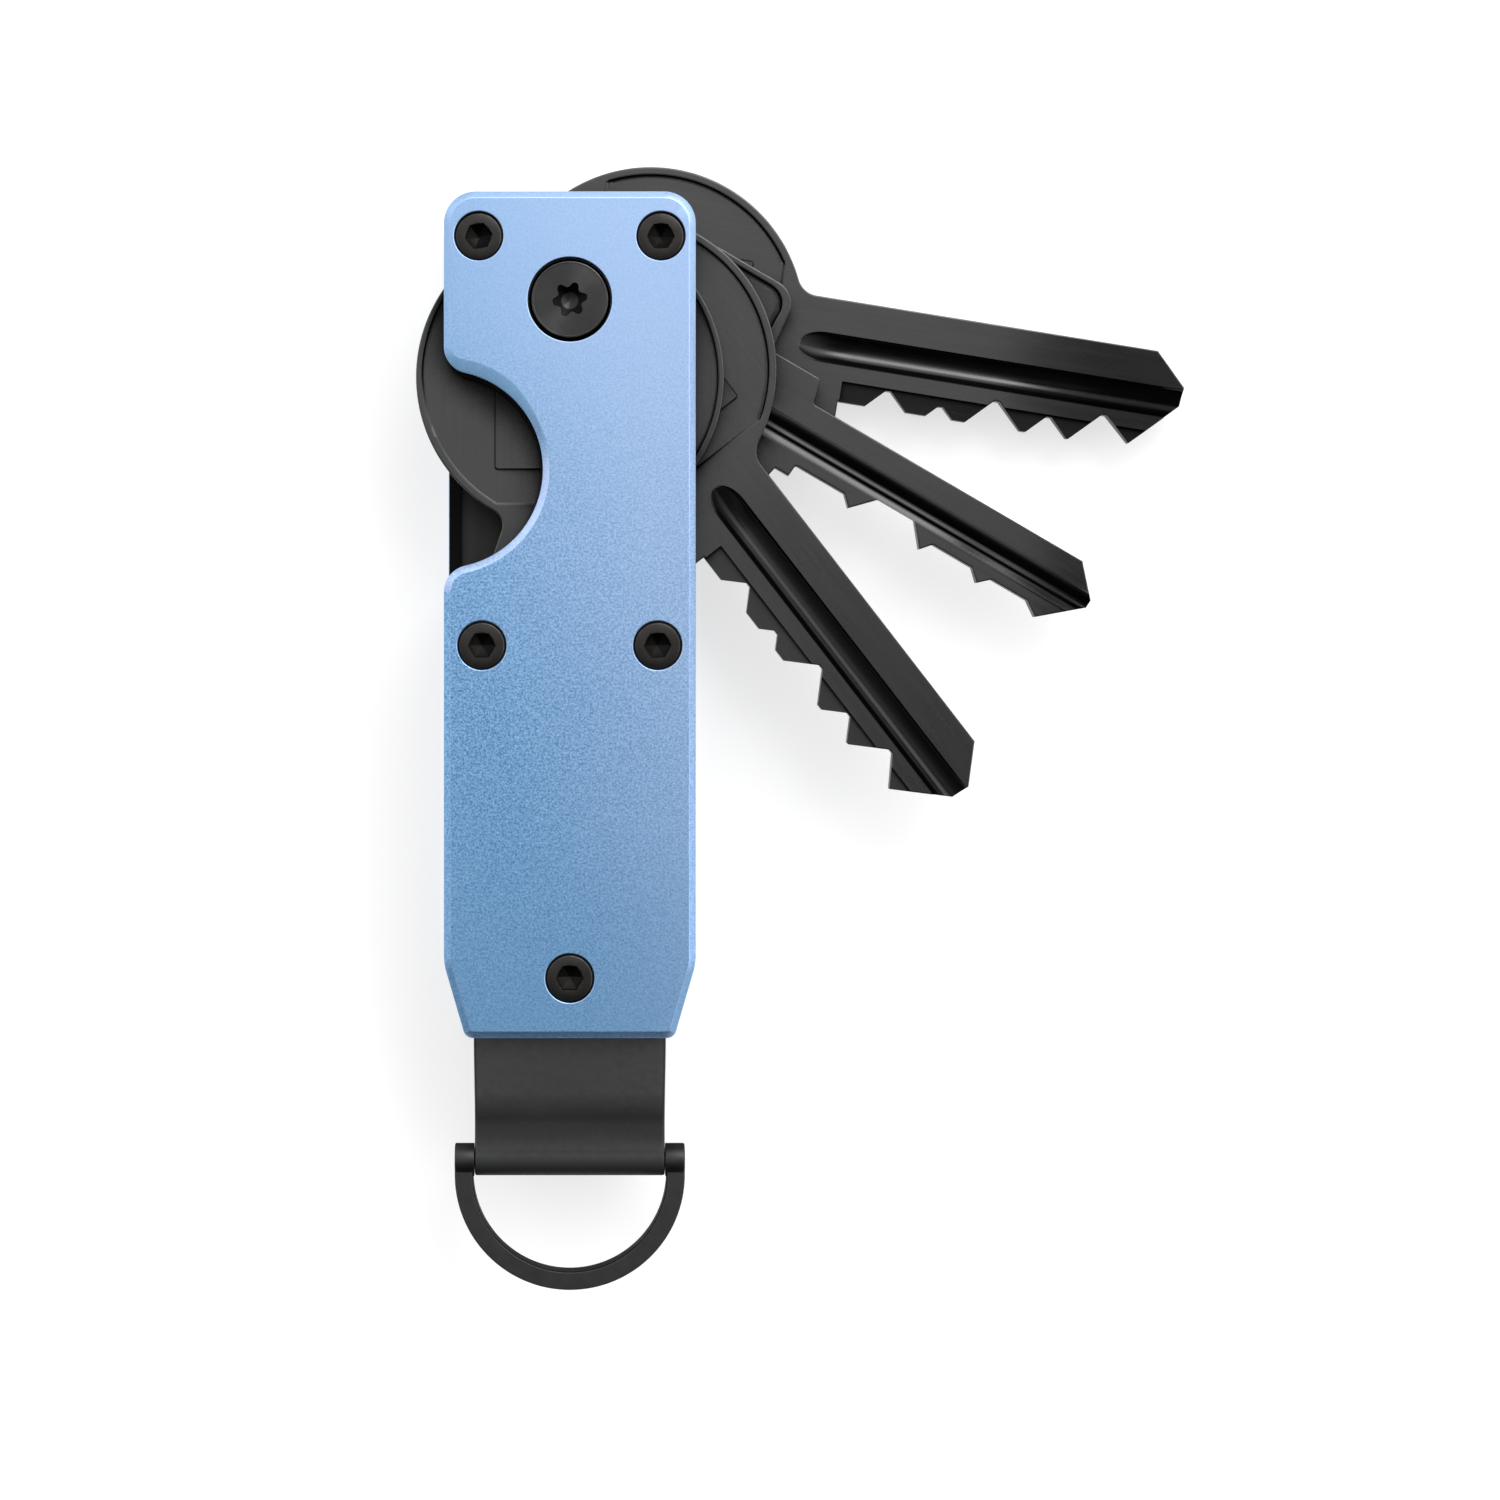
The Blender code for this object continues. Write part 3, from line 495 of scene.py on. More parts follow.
def anodised():
    """Light blue anodising over a bead-blasted surface: fine speckle, a faint cloud, paler broken edges. A painted
    sheen pales it towards the top and the open side, with weaker grain under it; a painted highlight pales the notch's
    lower chamfer and painted shade blackens the screw seats.
    """
    f = Finish("anodised_blue")
    speckle = f.noise(4800, 2.0, 0.6)
    fine = f.noise(7000, 1.0, 0.5)
    cloud = f.noise(60, 2.0, 0.5)
    tone = f.sum(f.sum(f.span(speckle, 0.32, 0.68), 0.68, "MULTIPLY"), f.sum(f.span(fine, 0.3, 0.7), 0.32, "MULTIPLY"))
    # The grain's contrast falls towards the top, under the painted sheen, and towards the foot.
    strong = f.sum(f.span(f.axis("Y"), 0.030, 0.005, 0.44, 1.38), f.span(f.axis("Y"), -0.038, -0.012, 0.42, 1.0), "MULTIPLY")
    tone = f.sum(f.sum(f.sum(tone, -0.5), strong, "MULTIPLY"), 0.5)
    # Painted sheen: the blue pales towards the top and the open side, as if lit from there.
    across = f.sum(f.sum(f.axis("Y"), 12.0, "MULTIPLY"), f.sum(f.axis("X"), 30.0, "MULTIPLY"))
    painted_sheen = f.node(
        "ShaderNodeMapRange",
        {"Value": across, "From Min": -0.52, "From Max": 0.64, "To Min": 0.0, "To Max": 1.0},
        interpolation_type="SMOOTHSTEP",
    ).outputs["Result"]
    painted_sheen = f.sum(painted_sheen, f.span(cloud, 0.3, 0.7, -0.05, 0.05))
    low = f.mix(tone, ANODISED_SHADED_AND_SHEENED_TONES[0], ANODISED_SHADED_AND_SHEENED_TONES[1])
    high = f.mix(tone, ANODISED_SHADED_AND_SHEENED_TONES[2], ANODISED_SHADED_AND_SHEENED_TONES[3])
    base = f.mix(painted_sheen, low, high)
    worn = f.sum(f.edge(), f.span(f.noise(350, 3.0, 0.6), 0.42, 0.62, 0.16, 0.3), "MULTIPLY")
    base = f.mix(worn, base, (0.62, 0.72, 0.93, 1))
    ramp = f.node("ShaderNodeAttribute", attribute_name="polish").outputs["Fac"]
    blasted = f.mix(tone, (0.17, 0.36, 0.60, 1), (0.27, 0.49, 0.76, 1))
    base = f.mix(f.sum(ramp, 0.9, "MULTIPLY"), base, blasted)
    metallic = f.sum(f.sum(ramp, -0.7, "MULTIPLY"), 0.85)
    painted_light = f.node("ShaderNodeAttribute", attribute_name="painted_light").outputs["Fac"]
    # Painted highlight: paler where the mark is above zero, on the notch's lower chamfer.
    base = f.mix(f.sum(f.span(painted_light, 0.0, 1.0), 0.32, "MULTIPLY"), base, (0.66, 0.68, 0.92, 1))
    # Painted shade: near-black where the mark is below zero, down in the screw seats.
    base = f.mix(f.sum(f.span(painted_light, 0.0, -1.0), 0.9, "MULTIPLY"), base, (0.004, 0.006, 0.010, 1))
    rough = f.span(speckle, 0.25, 0.75, 0.32, 0.46)
    normal = f.bump(speckle, f.sum(strong, 0.34, "MULTIPLY"), 0.000014, f.bump(fine, 0.3, 0.000008))
    return f.set(
        Base_Color=base, Metallic=metallic, Roughness=rough, Normal=normal, Coat_Weight=0.6, Coat_Roughness=0.3, Coat_IOR=1.6
    )


def dark_steel(name, shade, rough, streak, warm=0.0, wear=0.10, metallic=0.92, grain=1.0, lines_share=0.16, polish=0.0, edge_on=1.0, shade_in=0.0, reach=0.003, lean=(0.1, 0.8, 0.0), closed=0.48, open_at=0.82):
    """Dark coated steel with fine streaks along the streak scale (x, y, z), cloudy roughness and worn edges. Where
    asked it also carries painted shadow from a leaning occlusion lookup, painted shade from the face mark, and grooves
    painted darker.
    """
    f = Finish(name)
    lines = f.noise(1.0, 3.0, 0.6, f.scaled(*streak))
    fine = f.noise(5200, 2.0, 0.6)
    cloud = f.noise(120, 3.0, 0.55)
    base = f.mix(f.span(lines, 0.3, 0.7), grey(shade * (1 - lines_share), warm), grey(shade * (1 + lines_share), warm))
    base = f.mix(f.span(cloud, 0.35, 0.65, 0.0, 0.35), base, grey(shade * 0.86, warm))
    worn = f.sum(f.edge(), f.span(f.noise(900, 3.0, 0.65), 0.40, 0.60, 0.2, 0.85), "MULTIPLY")
    base = f.mix(worn, base, grey(shade + wear, warm * 0.5))
    spread = f.sum(f.span(cloud, 0.3, 0.7, -0.03, 0.04), f.span(lines, 0.3, 0.7, rough - 0.02, rough + 0.03))
    # Painted shadow: near-black where an occlusion lookup, leaning towards the light, finds parts close by.
    if shade_in:
        up = f.node("ShaderNodeNewGeometry").outputs["Normal"]
        lit_from = f.node("ShaderNodeVectorMath", {0: up, 1: lean}, operation="ADD").outputs["Vector"]
        lit_from = f.node("ShaderNodeVectorMath", {0: lit_from}, operation="NORMALIZE").outputs["Vector"]
        open_share = f.node("ShaderNodeAmbientOcclusion", {"Distance": reach, "Normal": lit_from}, samples=8).outputs["AO"]
        base = f.mix(f.span(open_share, closed, open_at, shade_in, 0.0), base, grey(0.002))
    # Painted shade: darker where the face mark asks, on the ring's inner side and ears.
    inner = f.node("ShaderNodeAttribute", attribute_name="painted_light").outputs["Fac"]
    base = f.mix(f.span(inner, 0.0, 1.0), base, grey(0.006))
    if polish:
        shiny = f.node("ShaderNodeAttribute", attribute_name="polish").outputs["Fac"]
        spread = f.sum(spread, f.sum(shiny, -polish, "MULTIPLY"))
        # The groove is polished and its colour painted a fifth darker as painted shade.
        base = f.mix(shiny, base, grey(shade * 0.8))
        metallic = f.sum(f.sum(shiny, 1.0 - metallic, "MULTIPLY"), metallic)
    normal = f.bump(lines, 0.10 * grain, 0.00001, f.bump(fine, 0.12 * grain, 0.000006))
    return f.set(Base_Color=base, Metallic=metallic, Roughness=spread, Normal=normal, Specular_Tint=grey(edge_on))


def turned_steel(name, shade, rough, pitch, warm=0.0, shine=0.0, wear=0.05, depth=1.0, recess_shade=0.7):
    """Black steel with the fine rings that facing on a lathe leaves; the piece's own axis is its local Z. The faces the
    polish mark picks are painted near-black as painted shade.
    """
    f = Finish(name)
    rings = f.node(
        "ShaderNodeTexWave",
        {
            "Vector": f.where,
            "Scale": math.pi / (10 * pitch * MM),
            "Distortion": 0.6,
            "Detail": 2.0,
            "Detail Scale": 2.0,
        },
        wave_type="RINGS",
        rings_direction="Z",
    ).outputs["Fac"]
    cloud = f.noise(420, 3.0, 0.6)
    fine = f.noise(5200, 2.0, 0.6)
    base = f.mix(f.span(cloud, 0.3, 0.7), grey(shade * 0.85, warm), grey(shade * 1.18, warm))
    base = f.mix(f.sum(rings, 0.16, "MULTIPLY"), base, grey(shade * 1.5, warm))
    worn = f.sum(f.edge(), f.span(f.noise(1400, 3.0, 0.65), 0.40, 0.62, 0.15, 0.8), "MULTIPLY")
    base = f.mix(worn, base, grey(shade + wear, warm))
    # Painted shade: the marked recesses go near-black, by the given share.
    sunk = f.node("ShaderNodeAttribute", attribute_name="polish").outputs["Fac"]
    base = f.mix(f.sum(sunk, recess_shade, "MULTIPLY"), base, grey(0.002))
    spread = f.span(cloud, 0.3, 0.7, rough - 0.04, rough + 0.06)
    normal = f.bump(rings, 0.16 * depth, 0.000008, f.bump(fine, 0.10, 0.000005))
    mat = f.set(Base_Color=base, Metallic=0.92, Roughness=spread, Normal=normal, Anisotropic=shine)
    if shine:
        around = f.node("ShaderNodeTangent", direction_type="RADIAL", axis="Z").outputs["Tangent"]
        f.set(Anisotropic_Rotation=0.25)
        f.put(f.shader.inputs["Tangent"], around)
    return mat


def polymer(name, shade, rough, grain=1.0, gloss=0.5):
    """Matte moulded plastic with a fine spark-eroded texture."""
    f = Finish(name)
    pits = f.node("ShaderNodeTexVoronoi", {"Vector": f.where, "Scale": 3600.0}).outputs["Distance"]
    fine = f.noise(4200, 3.0, 0.6)
    base = f.mix(f.span(f.noise(260, 3.0), 0.3, 0.7), grey(shade * 0.8), grey(shade * 1.25))
    base = f.mix(f.sum(f.edge(), 0.35, "MULTIPLY"), base, grey(shade * 2.2))
    normal = f.bump(pits, 0.22 * grain, 0.00002, f.bump(fine, 0.2 * grain, 0.00001))
    return f.set(Base_Color=base, Roughness=f.span(fine, 0.3, 0.7, rough - 0.06, rough + 0.08), Normal=normal, Specular_IOR_Level=gloss)


def leather():
    """Smooth dark grey leather: fine pores, faint creases across the strap, polished painted edges, and the strap past
    the pinch painted darker as painted shade.
    """
    f = Finish("strap_leather")
    pores = f.node("ShaderNodeTexVoronoi", {"Vector": f.where, "Scale": 2300.0, "Randomness": 1.0}).outputs["Distance"]
    grain = f.noise(1500, 4.0, 0.6)
    creases = f.noise(1.0, 3.0, 0.6, f.scaled(160, 1500, 1500))
    cloud = f.noise(150, 3.0, 0.5)
    base = f.mix(f.span(grain, 0.3, 0.7), grey(0.064), grey(0.082))
    base = f.mix(f.span(cloud, 0.35, 0.65, 0.0, 0.4), base, grey(0.066))
    # Painted shade: everything past the pinch, the loop round the bar included, goes darker.
    painted_fold_shade = f.span(f.sum(f.axis("Y"), f.sum(cloud, 0.0006, "MULTIPLY")), -0.0481, -0.0456, 1.0, 0.0)
    base = f.mix(painted_fold_shade, base, grey(0.011))
    side = f.node("ShaderNodeMath", {0: f.axis("X")}, operation="ABSOLUTE").outputs[0]
    paint = f.span(side, 0.00885, 0.00905)
    base = f.mix(paint, base, grey(0.018))
    rough = f.sum(f.span(grain, 0.3, 0.7, 0.48, 0.60), f.sum(f.sum(paint, -0.1, "MULTIPLY"), f.sum(painted_fold_shade, 0.12, "MULTIPLY")))
    normal = f.bump(pores, 0.25, 0.000018, f.bump(creases, 0.14, 0.00003, f.bump(grain, 0.2, 0.00001)))
    return f.set(Base_Color=base, Roughness=rough, Normal=normal, Specular_IOR_Level=0.4, Coat_Weight=0.05, Coat_Roughness=0.4)


def bronze():
    """Thin bronze sheet with a light tarnish."""
    f = Finish("washer_bronze")
    tarnish = f.noise(500, 4.0, 0.6)
    base = f.mix(f.span(tarnish, 0.3, 0.7), (0.42, 0.25, 0.11, 1), (0.62, 0.42, 0.21, 1))
    base = f.mix(f.sum(f.edge(), 0.6, "MULTIPLY"), base, (0.74, 0.54, 0.32, 1))
    lines = f.noise(1.0, 2.0, 0.6, f.scaled(900, 5200, 900))
    return f.set(
        Base_Color=base, Metallic=1.0, Roughness=f.span(tarnish, 0.3, 0.7, 0.3, 0.45), Normal=f.bump(lines, 0.15, 0.000006)
    )


ANODISED = anodised()
# LINER and KEY carry painted shadow from dark_steel's occlusion lookup.
LINER = dark_steel("liner_steel", 0.046, 0.40, (500, 60, 500), warm=0.03, wear=0.05, shade_in=0.97, reach=0.009, closed=0.55, open_at=0.87)
SPINE = polymer("spine_polymer", 0.003, 0.6, gloss=0.10)
BLOCK = polymer("block_polymer", 0.014, 0.55)
SCREW = turned_steel("screw_black", 0.031, 0.34, 0.14, warm=0.07)
PIVOT = turned_steel("pivot_black", 0.043, 0.30, 0.09, warm=0.01, shine=0.85, recess_shade=0.95)
POST = turned_steel("post_black", 0.035, 0.34, 0.2, warm=0.02)
BRONZE = bronze()
KEY = dark_steel("key_gunmetal", 0.070, 0.29, (130, 2200, 2200), wear=0.05, metallic=0.86, lines_share=0.06, polish=0.10, edge_on=0.6, shade_in=1.0, reach=0.0045, lean=(0.25, 1.1, 0.0), closed=0.49, open_at=0.70)
RING = dark_steel("ring_black", 0.059, 0.41, (700, 700, 700), wear=0.02, metallic=0.94, lines_share=0.1, edge_on=0.35)
LEATHER = leather()


# ---------------------------------------------------------------- covers and liners


def cover_rim(shares):
    """The chamfer round a cover's outer face, its two corners slightly rounded, wider where shares say so."""
    widths = [CHAMFER_W + RAMP_W * s for s in shares]
    steps = []
    for part, drop in ((-0.0, 1.0), (0.02, 0.93), (0.10, 0.82), (0.88, 0.06), (0.95, 0.018), (1.04, 0.0)):
        steps.append(([w * max(part, 0.0) for w in widths], CHAMFER_DROP * drop))
    return steps


def seat_cutters(face, s, turned_to):
    """Stepped seats for the four screws, the end screw and the pivot, with a small break at the mouth of each."""
    tools = []
    seats = [(x, y, SCREW_SEAT_R, SCREW_HOLE_R, SCREW_HEAD_H, 64) for _, x, y, _, _ in PLACES]
    seats.append((0.0, PIVOT_Y, PIVOT_SEAT_R, BORE_R, PIVOT_HEAD_H, 96))
    for x, y, head, hole, deep, steps in seats:
        floor = face - s * (HEAD_SUNK + deep + 0.1)
        profile = [
            (0.0, face + s * 1.0),
            (head + 0.09 + 1.0, face + s * 1.0),
            (head + 0.09, face),
            (head + 0.03, face - s * 0.035),
            (head, face - s * 0.11),
            (head, floor),
            (hole, floor),
            (hole, turned_to),
            (0.0, turned_to),
        ]
        tools.append(revolve(profile, steps, x, y))
    return tools


def painted_seat_shade(centre, face):
    """-1 where a face of a cover lies down in one of its seats, painted black as painted shade in the recess."""
    if abs(centre.z - face) < 0.13:
        return 0.0
    near = [math.hypot(centre.x - x, centre.y - y) < SCREW_SEAT_R + 0.04 for _, x, y, _, _ in PLACES]
    return -1.0 if any(near) or math.hypot(centre.x, centre.y - PIVOT_Y) < PIVOT_SEAT_R + 0.04 else 0.0


def notch_angle(centre):
    return math.degrees(math.atan2(centre.y - NOTCH_Y, centre.x - NOTCH_X))


def notch_painted_highlight(centre, normal):
    """The chamfer of the notch's lower side, painted paler as a painted highlight where it faces the light."""
    near = centre.x < -1.5 and 1.5 < centre.y < 20 and math.hypot(centre.x - NOTCH_X, centre.y - NOTCH_Y) > NOTCH_R - 0.6
    return smooth01((14 - notch_angle(centre)) / 14) if near and 0.2 < normal.z < 0.98 else 0.0


def on_the_ramp(centre, normal):
    """The wide ramp of the notch's upper side, which keeps its blasted finish."""
    there = centre.x < -1.5 and 12.0 < centre.y < 25.0 and 0.8 < normal.z < 0.995 and normal.y < -0.03
    return smooth01((notch_angle(centre) - 16) / 22) if there else 0.0


outline, shares = case_outline(0.0, (NOTCH_Y, NOTCH_R))
front = plate(outline, FRONT_COVER_Z, CASE_T, cover_rim(shares), rim(0.12, 2))
front = combine(front, seat_cutters(CASE_T, 1.0, FRONT_COVER_Z - 1))
add(
    "front_cover_piece",
    front,
    ANODISED,
    "case",
    edge=0.07,
    polish=on_the_ramp,
    painted_light=lambda centre, normal: painted_seat_shade(centre, CASE_T) or notch_painted_highlight(centre, normal),
)

outline, shares = case_outline(0.0)
back = plate(outline, 0.0, COVER_T, rim(0.12, 2), cover_rim(shares))
back = combine(back, seat_cutters(0.0, -1.0, COVER_T + 1))
add(
    "back_cover_piece",
    back,
    ANODISED,
    "case",
    edge=0.07,
    painted_light=lambda centre, normal: painted_seat_shade(centre, 0.0),
)

for name, z, notch in (
    ("front_liner", FRONT_LINER_Z, (NOTCH_LINER_Y, NOTCH_LINER_R)),
    ("back_liner", BACK_LINER_Z, None),
):
    outline, _ = case_outline(LINER_INSET, notch)
    sheet = plate(outline, z, z + LINER_T, rim(0.09, 2), rim(0.09, 2))
    holes = [revolve([(0, z - 1), (SCREW_HOLE_R, z - 1), (SCREW_HOLE_R, z + 2), (0, z + 2)], 40, x, y) for _, x, y, _, _ in PLACES]
    holes.append(revolve([(0, z - 1), (BORE_R, z - 1), (BORE_R, z + 2), (0, z + 2)], 64, 0.0, PIVOT_Y))
    add(name + "_piece", combine(sheet, holes), LINER, "case")


# ---------------------------------------------------------------- screws and pivot


def socket_head(head_r, head_h, shank_r, length, bevel, socket, dish=0.0):
    """A low-head screw, its outer face at z 0 and its shank down to -length, with its socket cut."""
    top = [(head_r - bevel * 1.15, -0.01), (head_r - bevel * 0.85, -0.03), (head_r - 0.05, -bevel * 0.72), (head_r, -bevel * 0.95)]
    if dish:
        top = [
            (head_r * 0.5, -dish),
            (head_r - 0.45, -dish),
            (head_r - 0.41, -0.004),
            (head_r - 0.32, -0.004),
            (head_r - 0.27, -0.03),
            (head_r - 0.20, -0.17),
            (head_r - 0.08, -0.46),
            (head_r, -0.56),
        ]
    profile = [(0.0, -dish), *top, (head_r, -head_h + 0.08), (head_r - 0.08, -head_h), (shank_r, -head_h)]
    if length > head_h + 1.5:
        z, turn = -head_h - 0.35, 0
        while z - 0.3 > -length + 0.3:
            profile += [(shank_r, z), (shank_r - 0.14, z - 0.15)]
            z -= 0.3
            turn += 1
        profile.append((shank_r, z))
    profile += [(shank_r, -length + 0.22), (shank_r - 0.22, -length), (0.0, -length)]
    return combine(revolve(profile, 80), socket)


def hex_socket(turn):
    corner = HEX_AF / math.sqrt(3)
    points = tidy(rounded([(p[0], p[1], 0.05) for p in arc(0, 0, corner, turn, turn + 300, 5)], 3))
    deep = skin(
        [
            [(x * 0.03, y * 0.03, -HEX_DEPTH - 0.74) for x, y in points],
            [(x * 0.93, y * 0.93, -HEX_DEPTH - 0.12) for x, y in points],
            [(x, y, -HEX_DEPTH - 0.04) for x, y in points],
            [(x, y, 0.6) for x, y in points],
        ]
    )
    mouth = revolve([(0, 0.3), (corner + 0.2, 0.3), (corner - 0.09, 0.0), (corner - 0.165, -0.075), (0, -0.075)], 60)
    return [deep, mouth]


def star_socket(turn):
    points = []
    for i in range(180):
        t = 2 * math.pi * i / 180
        wave = 0.5 + 0.5 * math.cos(6 * (t - math.radians(turn)))
        r = 1.15 + 0.48 * (0.5 * wave + 0.5 * smooth01(wave))
        points.append((r * math.cos(t), r * math.sin(t)))
    lobes = skin(
        [
            [(x, y, -1.6) for x, y in points],
            [(x, y, -0.10) for x, y in points],
            [(x * 1.03, y * 1.03, -0.04) for x, y in points],
            [(x * 1.5, y * 1.5, 0.5) for x, y in points],
        ]
    )
    drilled = revolve([(0, 1), (2.6, 1), (2.6, -0.55), (1.72, -0.78), (0.80, -1.16), (0.26, -1.38), (0, -1.38)], 72)
    return [combine(lobes, [drilled], "INTERSECT")]


for side, face, s in (("front", CASE_T - HEAD_SUNK, 1.0), ("back", HEAD_SUNK, -1.0)):
    for name, x, y, reach, turn in PLACES:
        length = (face - FRONT_COVER_Z + reach - 0.1) if s > 0 else (COVER_T - face + reach - 0.1)
        screw = socket_head(SCREW_HEAD_R, SCREW_HEAD_H, SCREW_SHANK_R, length, 0.17, hex_socket(turn + 7 * (s < 0)))
        if s < 0:
            bmesh.ops.rotate(screw, cent=(0, 0, 0), matrix=Matrix.Rotation(math.pi, 3, "X"), verts=screw.verts)
        add(
            f"{side}_screw_{name}_piece",
            screw,
            SCREW,
            "case",
            where=(x, y, face),
            edge=0.12,
            # The socket's inside is marked for painted shade.
            polish=lambda centre, normal: abs(centre.z) > 0.13 and math.hypot(centre.x, centre.y) < SCREW_SHANK_R + 0.1,
        )

def pivot_painted_shade(r, z):
    """How much painted shade the pivot screw gets: full in the socket's lobes and round the head's edge."""
    if z < -0.09 and r > PIVOT_HEAD_R - 0.36:
        return 1.0
    return 0.0 if z > -0.09 or r > 1.8 else 0.25 if r < 0.8 and z > -1.5 else 1.0


pivot = socket_head(PIVOT_HEAD_R, PIVOT_HEAD_H, PIVOT_SHANK_R, CASE_T - HEAD_SUNK - 6.0, 0.4, star_socket(9.5), dish=0.03)
add(
    "pivot_screw_piece",
    pivot,
    PIVOT,
    "case",
    where=(0, PIVOT_Y, CASE_T - HEAD_SUNK),
    edge=0.16,
    polish=lambda centre, normal: pivot_painted_shade(math.hypot(centre.x, centre.y), centre.z),
)

barrel_top = FRONT_COVER_Z + 0.35
barrel = revolve(
    [
        (0.0, HEAD_SUNK + 0.04),
        (PIVOT_HEAD_R - 0.5, HEAD_SUNK + 0.04),
        (PIVOT_HEAD_R - 0.36, HEAD_SUNK),
        (PIVOT_HEAD_R - 0.3, HEAD_SUNK + 0.02),
        (PIVOT_HEAD_R, HEAD_SUNK + 0.28),
        (PIVOT_HEAD_R, HEAD_SUNK + PIVOT_HEAD_H - 0.06),
        (PIVOT_HEAD_R - 0.06, HEAD_SUNK + PIVOT_HEAD_H),
        (BARREL_R + 0.05, HEAD_SUNK + PIVOT_HEAD_H),
        (BARREL_R, HEAD_SUNK + PIVOT_HEAD_H + 0.05),
        (BARREL_R, barrel_top - 0.15),
        (BARREL_R - 0.15, barrel_top),
        (1.75, barrel_top),
        (1.6, barrel_top - 0.15),
        (1.6, 4.0),
        (0.0, 3.6),
    ],
    96,
)
slot_tool = plate(rounded([(-2.9, -0.42, 0.1), (2.9, -0.42, 0.1), (2.9, 0.42, 0.1), (-2.9, 0.42, 0.1)], 3), -0.5, HEAD_SUNK + 0.6)
add("pivot_barrel_piece", combine(barrel, [slot_tool]), PIVOT, "case", where=(0, PIVOT_Y, 0), edge=0.16)

for n in range(5):
    z = BAY_FLOOR_Z + 0.1 + n * STACK_PITCH
    c = 0.05
    ring = [
        (BORE_R + c, z),
        (WASHER_R - c, z),
        (WASHER_R, z + c),
        (WASHER_R, z + WASHER_T - c),
        (WASHER_R - c, z + WASHER_T),
        (BORE_R + c, z + WASHER_T),
        (BORE_R, z + WASHER_T - c),
        (BORE_R, z + c),
    ]
    ring = revolve([(r, h - z) for r, h in ring], 96, closed=True)
    add(f"washer_{n + 1}_piece", ring, BRONZE, "case", where=(0, PIVOT_Y, z), edge=0.08)


# ---------------------------------------------------------------- spine, post, block

left = -CASE_WIDTH / 2 + 0.1
floor_z, ceiling_z = BAY_FLOOR_Z + 0.1, BAY_CEILING_Z - 0.1
wall = tidy(
    rounded(
        [
            (left, -31.0, 0.3),
            (left + 1.1, -31.0, 0.3),
            (left + 1.1, -6.1, 2.0),
            (left + 2.0, -4.8, 0.6),
            (left + 2.0, -1.0, 0.6),
            (left + 1.1, 0.3, 2.0),
            (left + 1.1, 15.0, 0.3),
            (left, 15.0, 0.3),
        ],
        6,
    )
)
spine = plate(wall, floor_z, ceiling_z, rim(0.15, 2), rim(0.15, 2))
boss = plate(tidy(arc(-8.3, -2.9, 2.2, 0, 354, 59)), floor_z, ceiling_z, rim(0.15, 2), rim(0.15, 2))
spine = combine(spine, [boss], "UNION")
lip = prism(
    [(left - 1, 2.3), (left + 2.1, 3.3), (left + 2.1, 16.0), (left - 1, 16.0)],
    floor_z + 0.2,
    ceiling_z + 1,
)
bore = revolve([(0, ceiling_z + 1), (SCREW_HOLE_R, ceiling_z + 1), (SCREW_HOLE_R, floor_z - 1), (0, floor_z - 1)], 40, -8.3, -2.9)
add("spine_piece", combine(spine, [lip, bore]), SPINE, "case")

post = revolve(
    [
        (SCREW_HOLE_R + 0.12, floor_z),
        (2.08, floor_z),
        (2.2, floor_z + 0.12),
        (2.2, floor_z + 3.2),
        (2.1, floor_z + 3.3),
        (2.1, floor_z + 6.7),
        (2.2, floor_z + 6.8),
        (2.2, ceiling_z - 0.12),
        (2.08, ceiling_z),
        (SCREW_HOLE_R + 0.12, ceiling_z),
        (SCREW_HOLE_R, ceiling_z - 0.12),
        (SCREW_HOLE_R, floor_z + 0.12),
    ],
    56,
    closed=True,
)
add("end_post_piece", post, POST, "case", where=(0, -34.3, 0), edge=0.1)

block = rounded([(-9.0, -39.0, 0.6), (9.0, -39.0, 0.6), (9.0, -31.4, 0.6), (-9.0, -31.4, 0.6)], 6)
block = plate(tidy(block), floor_z + 0.8, ceiling_z - 0.8, rim(0.4, 4), rim(0.4, 4))
post_hole = [(0, 16), (2.3, 16), (2.3, -1), (0, -1)]
block = combine(block, [revolve(post_hole, 48, 0.0, -34.3)])
add("end_block_piece", block, BLOCK, "case")


# ---------------------------------------------------------------- strap


